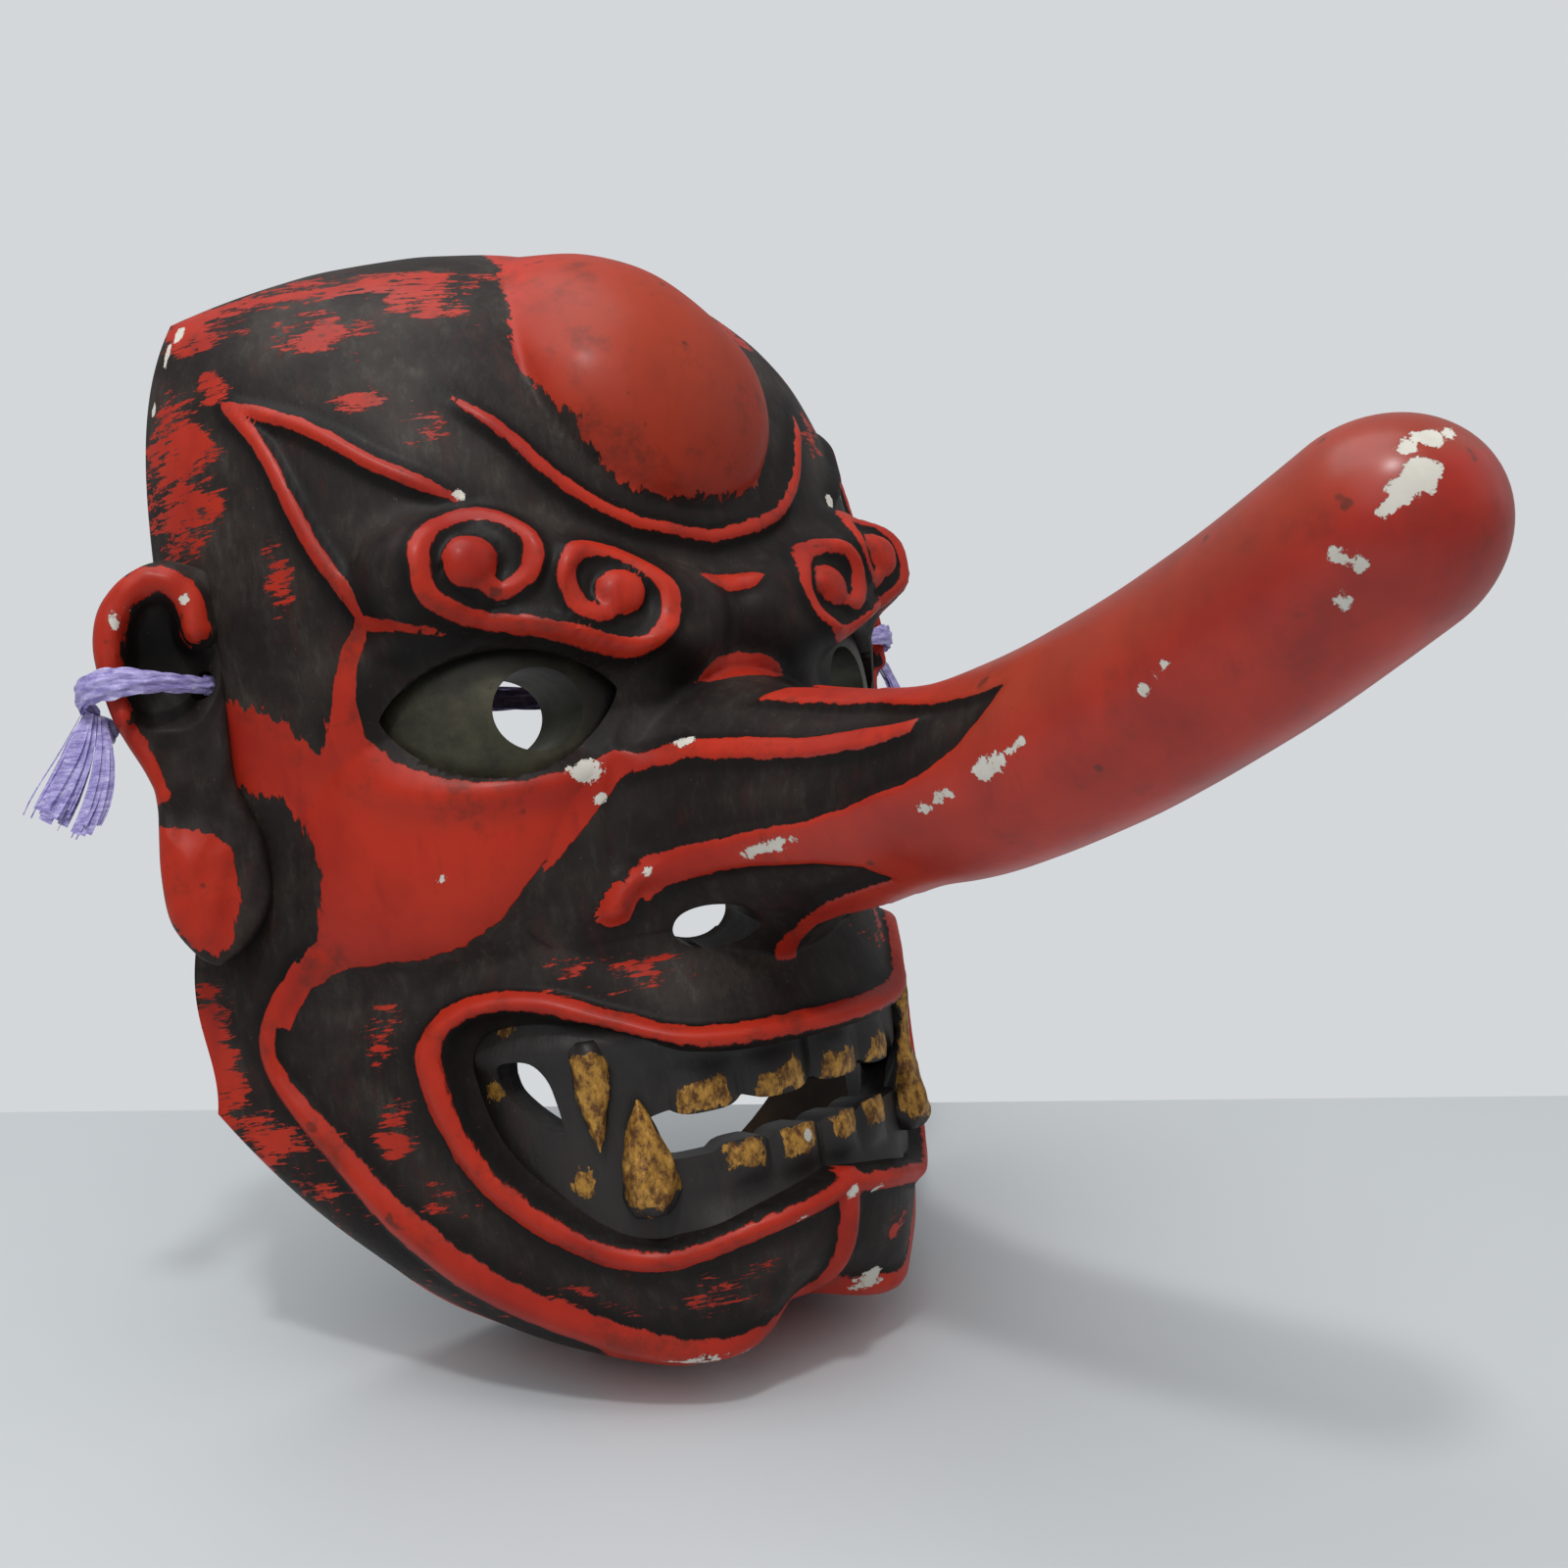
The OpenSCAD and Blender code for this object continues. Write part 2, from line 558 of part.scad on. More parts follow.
// Way of the tape from that hole over the right ear to its knot, and of its frayed end
loop_way = [[-90.5, -14.2, 17], [-95, -15.6, 17.4], [-100, -16.4, 18], [-105, -16.2, 18.4],
    [-109.5, -14.6, 18.6], [-112.6, -11.6, 18.3], [-113.4, -8.2, 17.4], [-112, -5.6, 15.6], [-110, -4.6, 13.4]];
knot_at = [-109.5, -5, 10.5];
tail_way = [[-110.5, -5, 8], [-112.5, -5.2, 4], [-115, -5.4, -0.5], [-118, -5.6, -5], [-121, -5.8, -9]];

function other_side(way) = [for (p = way) [-p[0], p[1], p[2]]];
function even(way, r) = [for (p = way) r];

module strap() {
    way = concat(strap_half, reversed(other_side([for (i = [0:len(strap_half) - 2]) strap_half[i]])));
    color(tape_lilac) tube(way, even(way, tape_d / 2), 8);
}

module strap_loop_right() {
    color(tape_lilac) tube(loop_way, even(loop_way, tape_d / 2), 8);
}

module strap_loop_left() {
    color(tape_lilac) mirror([1, 0, 0]) tube(loop_way, even(loop_way, tape_d / 2), 8);
}

module strap_knot_right() {
    color(tape_lilac) translate(knot_at) rotate([0, 20, 0]) {
        sphere(tape_d, $fn = 24);
        rotate_extrude($fn = 24) translate([tape_d * 0.75, 0]) circle(tape_d * 0.45, $fn = 16);
    }
}

module strap_knot_left() {
    mirror([1, 0, 0]) strap_knot_right();
}

module strap_tail_right() {
    color(tape_lilac) tube(tail_way, [for (i = [0:len(tail_way) - 1]) tape_d * (0.5 + 0.2 * i)], 8);
}

module strap_tail_left() {
    mirror([1, 0, 0]) strap_tail_right();
}

face_shell();
nose();
nose_pin();
eye_right();
eye_left();
upper_tooth_bar();
lower_tooth_bar();
upper_fangs();
lower_fangs();
ear_right();
ear_left();
ear_pegs();
strap();
strap_loop_right();
strap_loop_left();
strap_knot_right();
strap_knot_left();
strap_tail_right();
strap_tail_left();
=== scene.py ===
import math

import bpy
import numpy as np
from mathutils import Matrix, Vector, kdtree, noise
from mathutils.bvhtree import BVHTree


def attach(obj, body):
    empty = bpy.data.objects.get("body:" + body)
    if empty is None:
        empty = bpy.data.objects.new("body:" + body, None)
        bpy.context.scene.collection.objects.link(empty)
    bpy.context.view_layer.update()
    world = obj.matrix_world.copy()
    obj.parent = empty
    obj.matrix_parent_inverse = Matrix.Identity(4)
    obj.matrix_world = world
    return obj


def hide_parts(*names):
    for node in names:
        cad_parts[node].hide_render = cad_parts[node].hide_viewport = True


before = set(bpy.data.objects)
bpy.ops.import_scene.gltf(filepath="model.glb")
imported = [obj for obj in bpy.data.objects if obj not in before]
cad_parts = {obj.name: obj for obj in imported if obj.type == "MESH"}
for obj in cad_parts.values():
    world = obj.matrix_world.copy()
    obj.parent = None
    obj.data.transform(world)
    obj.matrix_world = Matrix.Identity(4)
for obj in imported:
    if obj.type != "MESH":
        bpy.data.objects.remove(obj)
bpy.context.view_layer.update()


# Face shell: one block of carved wood, hollow behind, its back rim in the plane y = 0.
# The carver cuts the relief, coats it with white ground and lacquers it vermilion and black.
# Shapes are worked out in millimetres here and turned into metres when a mesh is made.
MM, FAR, UP = 0.001, 1e9, (0.0, 0.0, 1.0)
SIDES = (-1, "right"), (1, "left")
half_w, top_h, bottom_h, mid_z = 92.0, 117.0, 127.0, -20.0
face_d, muzzle_d, wall = 74.0, 88.0, 10.0
temple_in, cheek_out, jaw_out, jaw_drop = 12, 4, 3.5, 21
round_step = 1.46  # distance round the face for one degree


def clamp(x):
    return np.clip(x, 0, 1)


def above(x):
    return np.clip(x, 0, None)


def unit(v):
    return v / (np.linalg.norm(v, axis=-1, keepdims=True) + 1e-12)


def grid(a, b):
    return np.meshgrid(a, b, indexing="ij")


def turns_of(n):
    return np.arange(n) * 2 * np.pi / n


def ease(x, low, high):
    """Smooth step from 0 at low to 1 at high."""
    k = clamp((x - low) / (high - low))
    return k * k * (3 - 2 * k)


def hill(u, z, cu, cz, ru, rz, power):
    """Rise over an oval, 1 at its middle and 0 from its edge on."""
    return above(1 - ((u - cu) / ru) ** 2 - ((z - cz) / rz) ** 2) ** power


def mid_depth(z):
    return np.interp(z, [-140, -106, -72, -48, 0],
                     [muzzle_d - 5, muzzle_d - 3, muzzle_d, face_d + 3, face_d])


def side_power(z):
    return np.interp(z, [-140, -105, -65, 0, 30], [1.35, 1.3, 1.2, 0.68, 0.5])


def bare_face(a, b, inset=0.0):
    """Bare surface: a runs round the face and b up it, in degrees, both from -90 to 90 at the rim."""
    t, v = np.sin(np.radians(a)), np.sin(np.radians(b))
    up, down = clamp(v), clamp(-v)
    z_top = top_h - inset - 19 * t**2
    z_low = inset - bottom_h + 36 * t**2 + 20 * t**4
    k = clamp((-b - 40) / 50)
    low_swell = 27 / 4 * k**2 * (1 - k)  # 1 at its highest
    jaw = jaw_drop * (1 - t**2) * (0.3 + 0.7 * ease(abs(t), 0.02, 0.3)) * low_swell
    z = mid_z + up * (z_top - mid_z) + down * (z_low - mid_z) - jaw
    bulge = cheek_out * np.sin(np.pi * down) ** 2 + jaw_out * down**3
    x = (half_w - inset - temple_in * up**6 + bulge) * t
    rise = np.where(v > 0, np.sqrt(clamp(1 - up**3.5)), clamp(1 - down**18) ** 0.45)
    y = -(mid_depth(z) - inset) * clamp(1 - t**2) ** side_power(z) * rise
    return np.stack([x, y, z], -1)


def curve(points, steps=8):
    """Smooth line through a few points."""
    p = np.array([points[0], *points, points[-1]], float)
    k = np.linspace(0, 1, steps, endpoint=False)[:, None]
    runs = []
    for a, b, c, d in zip(p, p[1:], p[2:], p[3:]):
        bend, swing = 2 * a - 5 * b + 4 * c - d, 3 * b - a - 3 * c + d
        runs.append((2 * b + (c - a) * k + bend * k**2 + swing * k**3) / 2)
    return np.vstack([*runs, p[-1:]])


def to_segment(u, z, a, b):
    """Distance to the straight line from a to b, and the share of it where the nearest point is."""
    d = b - a
    k = clamp(((u - a[0]) * d[0] + (z - a[1]) * d[1]) / max(d @ d, 1e-9))
    return np.hypot(u - a[0] - k * d[0], z - a[1] - k * d[1]), k


def gap(u, z, path):
    """Distance to a line, and how far along it the nearest point is, from 0 to 1."""
    best, along = np.full(u.shape, FAR), np.zeros(u.shape)
    for i, (a, b) in enumerate(zip(path, path[1:])):
        far, k = to_segment(u, z, a, b)
        along = np.where(far < best, (i + k) / (len(path) - 1), along)
        best = np.minimum(best, far)
    return best, along


def zone(u, z, ring, skip_middle=True):
    """Signed distance to an outline, positive inside; an edge on the middle line doesn't count."""
    ring = np.asarray(ring, float)
    best, inside = np.full(u.shape, FAR), np.zeros(u.shape, bool)
    for a, b in zip(ring, np.roll(ring, -1, 0)):
        if not (skip_middle and a[0] <= 0 and b[0] <= 0):
            best = np.minimum(best, to_segment(u, z, a, b)[0])
        if a[1] != b[1]:
            crossing = (z - a[1]) * (b[0] - a[0]) / (b[1] - a[1]) + a[0]
            inside ^= ((a[1] > z) != (b[1] > z)) & (u < crossing)
    return np.where(inside, best, -best)


# Carved lines of one side, as distance round the face from its middle line and height.
lip = curve([
    (0, -71), (24, -70), (36, -64), (46, -58), (56, -57), (62, -62), (63, -72), (58, -89), (47, -104),
    (34, -112), (18, -109), (0, -105)])
jaw_line = curve([(86, -42), (95, -60), (84, -80), (66, -104.5), (46, -122.5), (24, -134), (0, -128.5)])
chin_line = curve([(0, -103), (0, -113), (0, -126)])
arch_line = curve([(46, 67), (38, 58), (30, 47), (18, 38), (0, 33.5)])
temple_upper = curve([(96, 73), (78, 65), (64, 54), (50, 45)])
temple_lower = curve([(96, 73), (88, 63), (80, 39), (71, 23)])
scroll = curve([
    (48.5, 27), (46, 24.5), (41.5, 26.5), (39.5, 31.5), (41.5, 37), (47.5, 40.5), (55, 38.5), (59, 32),
    (58, 26), (54, 22), (49.5, 19.5), (40, 16.5), (33, 13.5), (26.5, 10.5), (22, 10.5), (18, 14), (16.5, 18),
    (16.5, 22), (20, 27.5), (25, 30.5), (31.5, 30.5), (34.5, 26.5), (33.5, 20.5), (29.5, 17.5), (27, 19)], 4)
scroll_eyes = [(50.5, 30.5), (25, 21.5)]
brow_line = np.array([(60, 30), (46, 29), (26, 20), (13, 16)], float)
wing_tip = curve([(32, -41.5), (30, -37.5), (26, -34.5), (20, -33)])
cheek_fold = curve([(27, -22), (37, -32), (45, -41), (54, -48), (66, -51), (78, -52)])
bridge_marks = [[(0, 25), (5, 25), (8, 24), (5, 21.5), (0, 20.5)],
                [(0, 8), (5, 7.2), (9, 5), (11.5, 2), (5, 2.2), (0, 2)]]
# Each raised line with its height, the half width of its red, and how many of its ends run out thin.
line_h, line_w = 2.6, 3.5
raised_lines = [
    (lip, 1.05, 2.6, 0), (jaw_line, 1.0, 2.5, 1), (chin_line, 0.9, 2.5, 0), (arch_line, 0.75, 1.35, 1),
    (temple_upper, 0.8, 1.6, 2), (temple_lower, 0.8, 1.7, 2), (scroll, 0.85, 1.75, 0),
    (wing_tip, 1.1, 3.3, 0)]
# Heights of raised forms, depths of sunk ones, and widths of those that run out softly.
boss_h, brow_h, lid_h, knob_h, mark_h = 13, 9, 3, 3.2, 1.8
mouth_sink, fold_sink, scroll_sink = 9, 2.5, 1.8
brow_w, fold_w, scroll_r = 11, 6, 11
# Rounded swells of the brow's end, cheek and nose wing, as a height, a place and half sizes.
swells = [(3.5, 61, 27, 15, 14), (6, 58, -24, 32, 25), (5, 27, -40, 15, 13)]


def run_out(along, ends):
    """How full a line is along its way, from 0 at a thin end to 1."""
    from_end = [np.ones(along.shape), along, np.minimum(along, 1 - along)][ends]
    return ease(from_end, -0.06, 0.22)


def lid_ring(s, z, mid):
    """Share of the way from the middle of the eye to the ring of its lids."""
    return np.hypot((s - 45) / 28, (z - mid) / 15)


def face_relief(u, z):
    """Height of the carving over the bare surface."""
    s = abs(u)
    crown = ease(z, 70, 92)
    h = boss_h * hill(s, z, 0, 72, 29, 31 + 9 * crown, 0.7 + 0.5 * crown)
    h += brow_h * np.exp(-((gap(np.hypot(s, 3), z, brow_line)[0] / brow_w) ** 4))
    h += lid_h * np.exp(-(((lid_ring(s, z, 1) - 1) * 3.5) ** 2))
    for high, *place in swells:
        h += high * hill(s, z, *place, 1)
    h -= fold_sink * np.exp(-((gap(s, z, cheek_fold)[0] / fold_w) ** 2))
    beads = np.zeros(s.shape)
    for path, size, _, ends in raised_lines:
        far, along = gap(s, z, path)
        full = line_h * size * run_out(along, ends)
        beads = np.maximum(beads, full * clamp(1 - (far / line_w) ** 2) ** 1.7)
    for cu, cz in scroll_eyes:
        h -= scroll_sink * hill(s, z, cu - 0.5, cz, scroll_r, scroll_r, 0.4)
        knob = 1 - (((s - cu) ** 2 + (z - cz) ** 2) / 27) ** 1.5
        beads = np.maximum(beads, knob_h * clamp(knob))
    for ring in bridge_marks:
        beads = np.maximum(beads, mark_h * ease(zone(s, z, ring), -1.4, 1.6))
    return h + beads - mouth_sink * ease(zone(s, z, lip), 0.5, 9)


# Paint of the nose and its root, by distance in front of the shoulder and angle down from the top.
root_d, nose_drop, nose_r, flare_r = 124.0, 27.0, 19.0, 37.0
turn_mm, groove_d = 0.4, 1.9  # distance round the nose for one degree, depth of its grooves
nose_red = [
    (-10, -9), (-30, 8), (-32, 24), (-17, 24), (1, 26), (20, 43), (31, 51), (39, 53), (36, 62), (32, 70),
    (27, 78), (20, 84), (13, 88), (5, 90), (-2, 95), (-12, 98), (-25, 98), (-39, 98), (-50, 99), (-52, 105),
    (-47, 111), (-38, 112), (-28, 114), (-14, 122), (-5, 132), (-2, 145), (-2, 149), (-10, 149), (-21, 150),
    (-35, 161), (-41, 164), (-50, 170), (-48, 178), (-41, 176), (-29, 166), (-22, 168), (-16, 180),
    (-12, 190), (160, 190), (160, -9)]
nose_tongue = [
    (-52, 62), (-41, 52), (-27, 50), (-13, 52), (1, 48), (17, 50), (15, 58), (3, 62), (-11, 64), (-26, 62),
    (-40, 61), (-50, 68)]


def nose_paint(ahead, turn):
    """Signed distance to the red of the nose, positive inside it."""
    fields = [zone(ahead, turn * turn_mm, np.array(ring) * (1, turn_mm), False)
              for ring in (nose_red, nose_tongue)]
    return np.maximum(*fields)


def groove_share(red):
    """1 in the grooves that have no red, 0 on the red ridges."""
    return 1 - ease(red, -2.2, 1.2)


def shade_beside_red(red):
    """Painted shade next to the red: 0.8 on the red and at its edge, fading into the black over a few
    millimetres.
    """
    return 0.8 * np.exp(-above(-red) / 6)


# Painted fields of the face, in the same measures as the carved lines.
NO_RED, NO_CHIP, NO_GOLD = -60.0, 40.0, -9.0
boss_outline = curve([
    (13, 114), (19, 104), (25, 93), (30, 77), (28.5, 68), (24.5, 60), (19, 48), (11, 43.5), (0, 42.5)])
boss_ring = [(0, 125), (9, 125), *boss_outline]
cheek_outline = [
    (27, -11), (30, -9.5), (36.5, -12), (44, -12.8), (52, -11.4), (58, -9.3), (66.5, -4.8), (72, 1),
    (73.5, 8), (73.5, 15), (71.5, 20), (70, 24), (73, 24.5), (76.5, 19.5), (79, 12), (80, 3), (82, -1),
    (90, 6), (100, 11), (114, 17), (122, 12), (119, -2), (104, -4), (93, -8), (86, -14), (82, -24), (82, -36),
    (87, -43), (93, -54), (89, -56), (84, -48), (77, -45), (63, -45.5), (56, -44), (50, -40), (45, -33),
    (39, -26), (32, -19), (28, -14)]
lid_stroke = curve([(72, 23), (66, 21.5), (60.5, 19.8), (56, 17.9)])
low_jaw = jaw_line[jaw_line[:, 1] < -80][::-1]
# Dry strokes as ovals with an amount, and flaked spots as a place, a radius and a length.
dry_marks = [
    (108, 96, 30, 11, 1.12), (60, 99, 42, 6, 0.98), (68, 85, 15, 9, 1.0), (42, 92, 12, 8, 0.98),
    (62, 69, 11, 5, 0.92), (54, 61, 11, 5, 0.92), (116, 60, 20, 24, 1.08), (90, 35, 5, 12, 0.98),
    (100, 77, 9, 6, 0.9), (34, -55, 20, 7, 0.78), (71, -58, 5, 9, 0.85), (72, -80, 5, 11, 0.85),
    (64, -95, 11, 6, 0.78), (45, -117, 13, 5, 0.75), (29, -123, 13, 6, 0.7), (20, -119, 10, 5, 0.68),
    (122, -60, 22, 26, 1.0), (98, -80, 20, 10, 0.95), (108, -95, 46, 16, 0.85), (78, -118, 44, 12, 0.7)]
flaked = [
    (-35, -13, 2.2, 1.2), (-33.6, -18.8, 1.2, 1), (-58.4, -30, 0.8, 1), (30, 81, 1.2, 1), (73, 51, 2.4, 1.3),
    (72, 43, 1.2, 1), (-27, -134, 1.0, 4), (-15, -136, 1.5, 4), (-0.7, -107, 1.4, 1), (-11, -109, 0.9, 1),
    (7, -108.5, 1.0, 1), (12.4, -130, 1.6, 1.6), (-114, 94, 2.0, 1.5), (-121, 90, 2.6, 0.8),
    (-126, 78, 1.8, 0.7), (50, 46, 1.6, 1), (-50, 46, 1.2, 1), (46, -119, 1.2, 1), (104, -60, 1.4, 1)]
face_gloss, nose_gloss = 0.13, 0.55


def flakes(u, z, spots):
    """Distance to the edge of the nearest flaked spot."""
    far = [np.hypot((u - cu) / length, z - cz) - r for cu, cz, r, length in spots]
    return np.minimum(np.minimum.reduce(far), NO_CHIP)


def face_paint(u, z):
    """Paint values of the face: distance into the red, its raggedness, strokes, painted shade, chips and an
    orange-brown tint.
    """
    s = abs(u)
    boss = zone(s, z, boss_ring)
    reds, hollows = [boss, *(zone(s, z, ring) for ring in (cheek_outline, *bridge_marks))], []
    for path, _, half, ends in raised_lines:
        far, along = gap(s, z, path)
        into_line = half * (0.4 + 0.6 * run_out(along, ends)) - far
        if path is lip:
            into_line = np.minimum(into_line, 1.5 - zone(s, z, lip))
        if path is temple_upper:
            into_line = into_line - 1.3 * (u > 0)
        reds.append(into_line)
        # Painted shade along each raised line, in the creases beside it.
        hollows.append(np.exp(-above(far - 2.5) / 3))
    for cu, cz in scroll_eyes:
        reds.append(4.7 - np.hypot(s - cu, z - cz))
        # Painted shade in the sunk hollow of each scroll.
        hollows.append(hill(s, z, cu, cz, scroll_r, scroll_r, 0.5))
    # Painted shadow of the brow over the upper lid.
    hollows.append(np.exp(-(((lid_ring(s, z, 2) - 1.08) * 3.6) ** 2)) * ease(z, -10, 4))
    far, along = gap(s, z, lid_stroke)
    below = np.interp(s, low_jaw[:, 0], low_jaw[:, 1]) - z
    under_jaw = np.minimum(below + 2, 9 * (1 - (s / 52) ** 2) - below)
    chin_dot = 1.7 - np.hypot(u - 15, z + 121)
    reds += [1.5 - 1.2 * along - far, under_jaw, chin_dot]
    ragged = 0.5 + 1.6 * np.exp(-((boss / 5) ** 2)) + 2.2 * hill(s, z, 100, 2, 26, 24, 0.5)
    ragged += 1.2 * hill(s, z, 84, -28, 9, 20, 0.5)
    strokes = [np.full(s.shape, 0.22), *(amount * hill(s, z, *place, 0.4) for *place, amount in dry_marks)]
    # The boss is tinted orange-brown over its red.
    return {"red": np.maximum.reduce(reds), "ragged": ragged, "stroke": np.maximum.reduce(strokes),
            "hollow": np.maximum.reduce(hollows), "chip": flakes(u, z, flaked),
            "worn": 0.6 * hill(s, z, 0, 70, 30, 34, 0.5), "gloss": np.full(s.shape, face_gloss),
            "inside": np.zeros(s.shape)}


def grid_faces(rows, cols, start=0):
    i, j = grid(np.arange(rows - 1), np.arange(cols - 1))
    a = (start + i * cols + j).ravel()
    return np.concatenate([np.stack([a, a + cols, a + cols + 1], 1), np.stack([a, a + cols + 1, a + 1], 1)])


def edge_seam(front, back):
    """Triangles between a fine edge and a coarse one that has every k-th of its points."""
    k, made = (len(front) - 1) // (len(back) - 1), []
    for i in range(len(back) - 1):
        for j in range(k):
            made.append((front[k * i + j + 1], front[k * i + j], back[i] if j < k // 2 else back[i + 1]))
        made.append((front[k * i + k // 2], back[i], back[i + 1]))
    return np.array(made)


def closed_relief(front, back):
    """Points and faces of a solid between a fine front grid and a coarse back grid with the same edges."""
    m, n = front.shape[:2]
    p, q = back.shape[:2]
    f, g = np.arange(m * n).reshape(m, n), m * n + np.arange(p * q).reshape(p, q)
    rims = [(f[:, 0], g[:, 0], 1), (f[:, -1], g[:, -1], -1), (f[0], g[0], -1), (f[-1], g[-1], 1)]
    seams = [edge_seam(a, b)[:, ::way] for a, b, way in rims]
    faces = np.concatenate([grid_faces(m, n), grid_faces(p, q, m * n)[:, ::-1], *seams])
    return np.concatenate([front.reshape(-1, 3), back.reshape(-1, 3)]), faces


def tube_faces(rings, around):
    i, j = grid(np.arange(rings - 1), np.arange(around))
    a, b = (i * around + j).ravel(), (i * around + (j + 1) % around).ravel()
    return np.concatenate([np.stack([a, a + around, b + around], 1), np.stack([a, b + around, b], 1)])


def capped(levels, first_end, last_end):
    """Points and faces of a closed tube: its rings of points, and the middle points of its two ends."""
    m, n = levels.shape[:2]
    points = np.concatenate([levels.reshape(-1, 3), [first_end, last_end]])
    faces = [tube_faces(m, n)]
    for centre, first, way in ((m * n, 0, -1), (m * n + 1, m * n - n, 1)):
        ring = np.arange(first, first + n)
        faces.append(np.stack([np.full(n, centre), np.roll(ring, -1), ring], 1)[:, ::way])
    return points, np.concatenate(faces)


def merged(solids):
    """Points and faces of several solids as one."""
    starts = np.cumsum([0] + [len(points) for points, _ in solids])
    faces = [faces + start for (_, faces), start in zip(solids, starts)]
    return np.concatenate([points for points, _ in solids]), np.concatenate(faces)


def add_object(name, data):
    made = bpy.data.objects.new(name, data)
    bpy.context.scene.collection.objects.link(made)
    return made


def make_piece(name, points, faces):
    """Object from points in millimetres; its faces are turned outwards."""
    a, b, c = (points[faces[:, i]] for i in range(3))
    if (a * np.cross(b, c)).sum() < 0:
        faces = faces[:, ::-1]
    mesh = bpy.data.meshes.new(name)
    mesh.from_pydata((points * MM).tolist(), [], faces.tolist())
    return add_object(name, mesh)


def combine(piece, other, how):
    """Cuts the other solid from a piece or joins it on, and removes the other."""
    step = piece.modifiers.new("solids", "BOOLEAN")
    step.solver, step.operation, step.object = "MANIFOLD", how, other
    made = bpy.data.meshes.new_from_object(piece.evaluated_get(bpy.context.evaluated_depsgraph_get()))
    piece.modifiers.clear()
    piece.data = made
    bpy.data.objects.remove(other)


def add_values(piece, name, values):
    layer = piece.data.attributes.new(name, "FLOAT", "POINT")
    layer.data.foreach_set("value", np.asarray(values, np.float32))


def set_paint(piece, points, paint):
    """Gives each vertex the paint values of the nearest modelled point."""
    tree = kdtree.KDTree(len(points))
    for i, p in enumerate(points * MM):
        tree.insert(p, i)
    tree.balance()
    nearest = np.array([tree.find(v.co)[1] for v in piece.data.vertices])
    for name, values in paint.items():
        add_values(piece, name, np.asarray(values)[nearest])


def dress(piece, node, material, sharp_deg=None):
    """Gives a piece its material, smooths it, hangs it on the root body, and hides the frame's own piece of
    that node.
    """
    if sharp_deg:
        piece.data.shade_smooth()
        piece.data.set_sharp_from_angle(angle=math.radians(sharp_deg))
    piece.data.materials.clear()
    piece.data.materials.append(material)
    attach(piece, "root")
    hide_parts(node)


def waves(points, size, seed):
    """Soft uneven values of a hand-cut surface, from -1 to 1, one for each point of a grid."""
    values = [noise.noise(Vector(p) / size + Vector((seed, 0, 0))) for p in points.reshape(-1, 3)]
    return np.reshape(values, points.shape[:-1])


def spread(count, mid):
    """Grid lines from -90 to 90 degrees, closer together where the share mid is low."""
    s = np.linspace(-1, 1, count + 1)
    return 90 * (mid * s + (1 - mid) * s**3)


face_cols, face_rows, back_step = 260, 280, 5
a, b = grid(spread(face_cols, 0.8), spread(face_rows, 0.72))
bare, nudge = bare_face(a, b), 0.4
normal = unit(np.cross(bare_face(a + nudge, b) - bare_face(a - nudge, b),
                       bare_face(a, b + nudge) - bare_face(a, b - nudge)))
face_u, face_z = round_step * a, bare[..., 2]
height = face_relief(face_u, face_z) + 0.3 * waves(bare, 14, 3)
height *= ease(-bare[..., 1], 1, 14) * ((abs(a) < 89) & (abs(b) < 89))
front = bare + normal * height[..., None]
inner = bare_face(a, b, wall)[::back_step, ::back_step]
inner[1:-1, 1:-1] += 0.35 * waves(inner[1:-1, 1:-1], 9, 8)[..., None]
face_points, face_faces = closed_relief(front, inner)
face = make_piece("face", face_points, face_faces)

# Root of the nose: a flare that runs out into the face, with ridges that stay red between dark grooves.
root_rings, root_around, root_in, blend = 84, 240, 17, 9.0
flare_foot = face_d - 3
skin = BVHTree.FromPolygons(front.reshape(-1, 3).tolist(), grid_faces(*front.shape[:2]).tolist())
turns = np.radians(np.arange(root_around) * 360 / root_around)
from_top = np.degrees(np.minimum(turns, 2 * np.pi - turns))
outwards, turn = grid(np.linspace(0, 1, root_rings), turns)
root_out = np.interp(from_top, [0, 50, 105, 140, 180], [42, 51, 52, 43, 37.5])
r = root_in + (root_out - root_in) * outwards**1.7
root_x, root_z = -r * np.sin(turn), -nose_drop + r * np.cos(turn)
hits = [skin.ray_cast((x, -200, z), (0, 1, 0))[0] for x, z in zip(root_x.ravel(), root_z.ravel())]
face_depth = np.reshape([-hit.y for hit in hits], r.shape)
k = clamp((r - nose_r) / (flare_r - nose_r))
past = above(r - flare_r)
flare = flare_foot + (root_d - flare_foot) * (1 - k) ** 2 - 0.6 * past - 0.035 * past**2
far_side = (root_x > 0) * ease(r, 19, 27)
flare_red = nose_paint(flare - root_d, from_top + 10 * far_side * ease(from_top, 110, 150))
flare_red -= 8 * far_side * ease(from_top, 138, 148) * ease(r, 22, 26)
groove = groove_d * groove_share(flare_red)
stands_out = flare - face_depth
depth = np.maximum(face_depth, flare) + above(blend - abs(stands_out)) ** 2 / (4 * blend)
depth -= 0.5 * above(-stands_out - blend) + 0.8 * ease(outwards, 0.5, 1.0)
steep = ease(stands_out, 2, 16)
root_front = np.stack([root_x, -depth, root_z], -1)
root_front -= np.stack([-np.sin(turn), 0 * r, np.cos(turn)], -1) * (groove * steep)[..., None]
root_front[..., 1] += groove * (1 - steep) * ease(stands_out, -8, 2)
root_back = np.stack([root_x, -(face_depth - 5), root_z], -1)
shell_points, shell_faces = capped(np.concatenate([root_front, root_back[::-1]]), [0, -root_d, -nose_drop],
                                   [0, -face_d + 9, -nose_drop])
combine(face, make_piece("root", shell_points, shell_faces), "UNION")

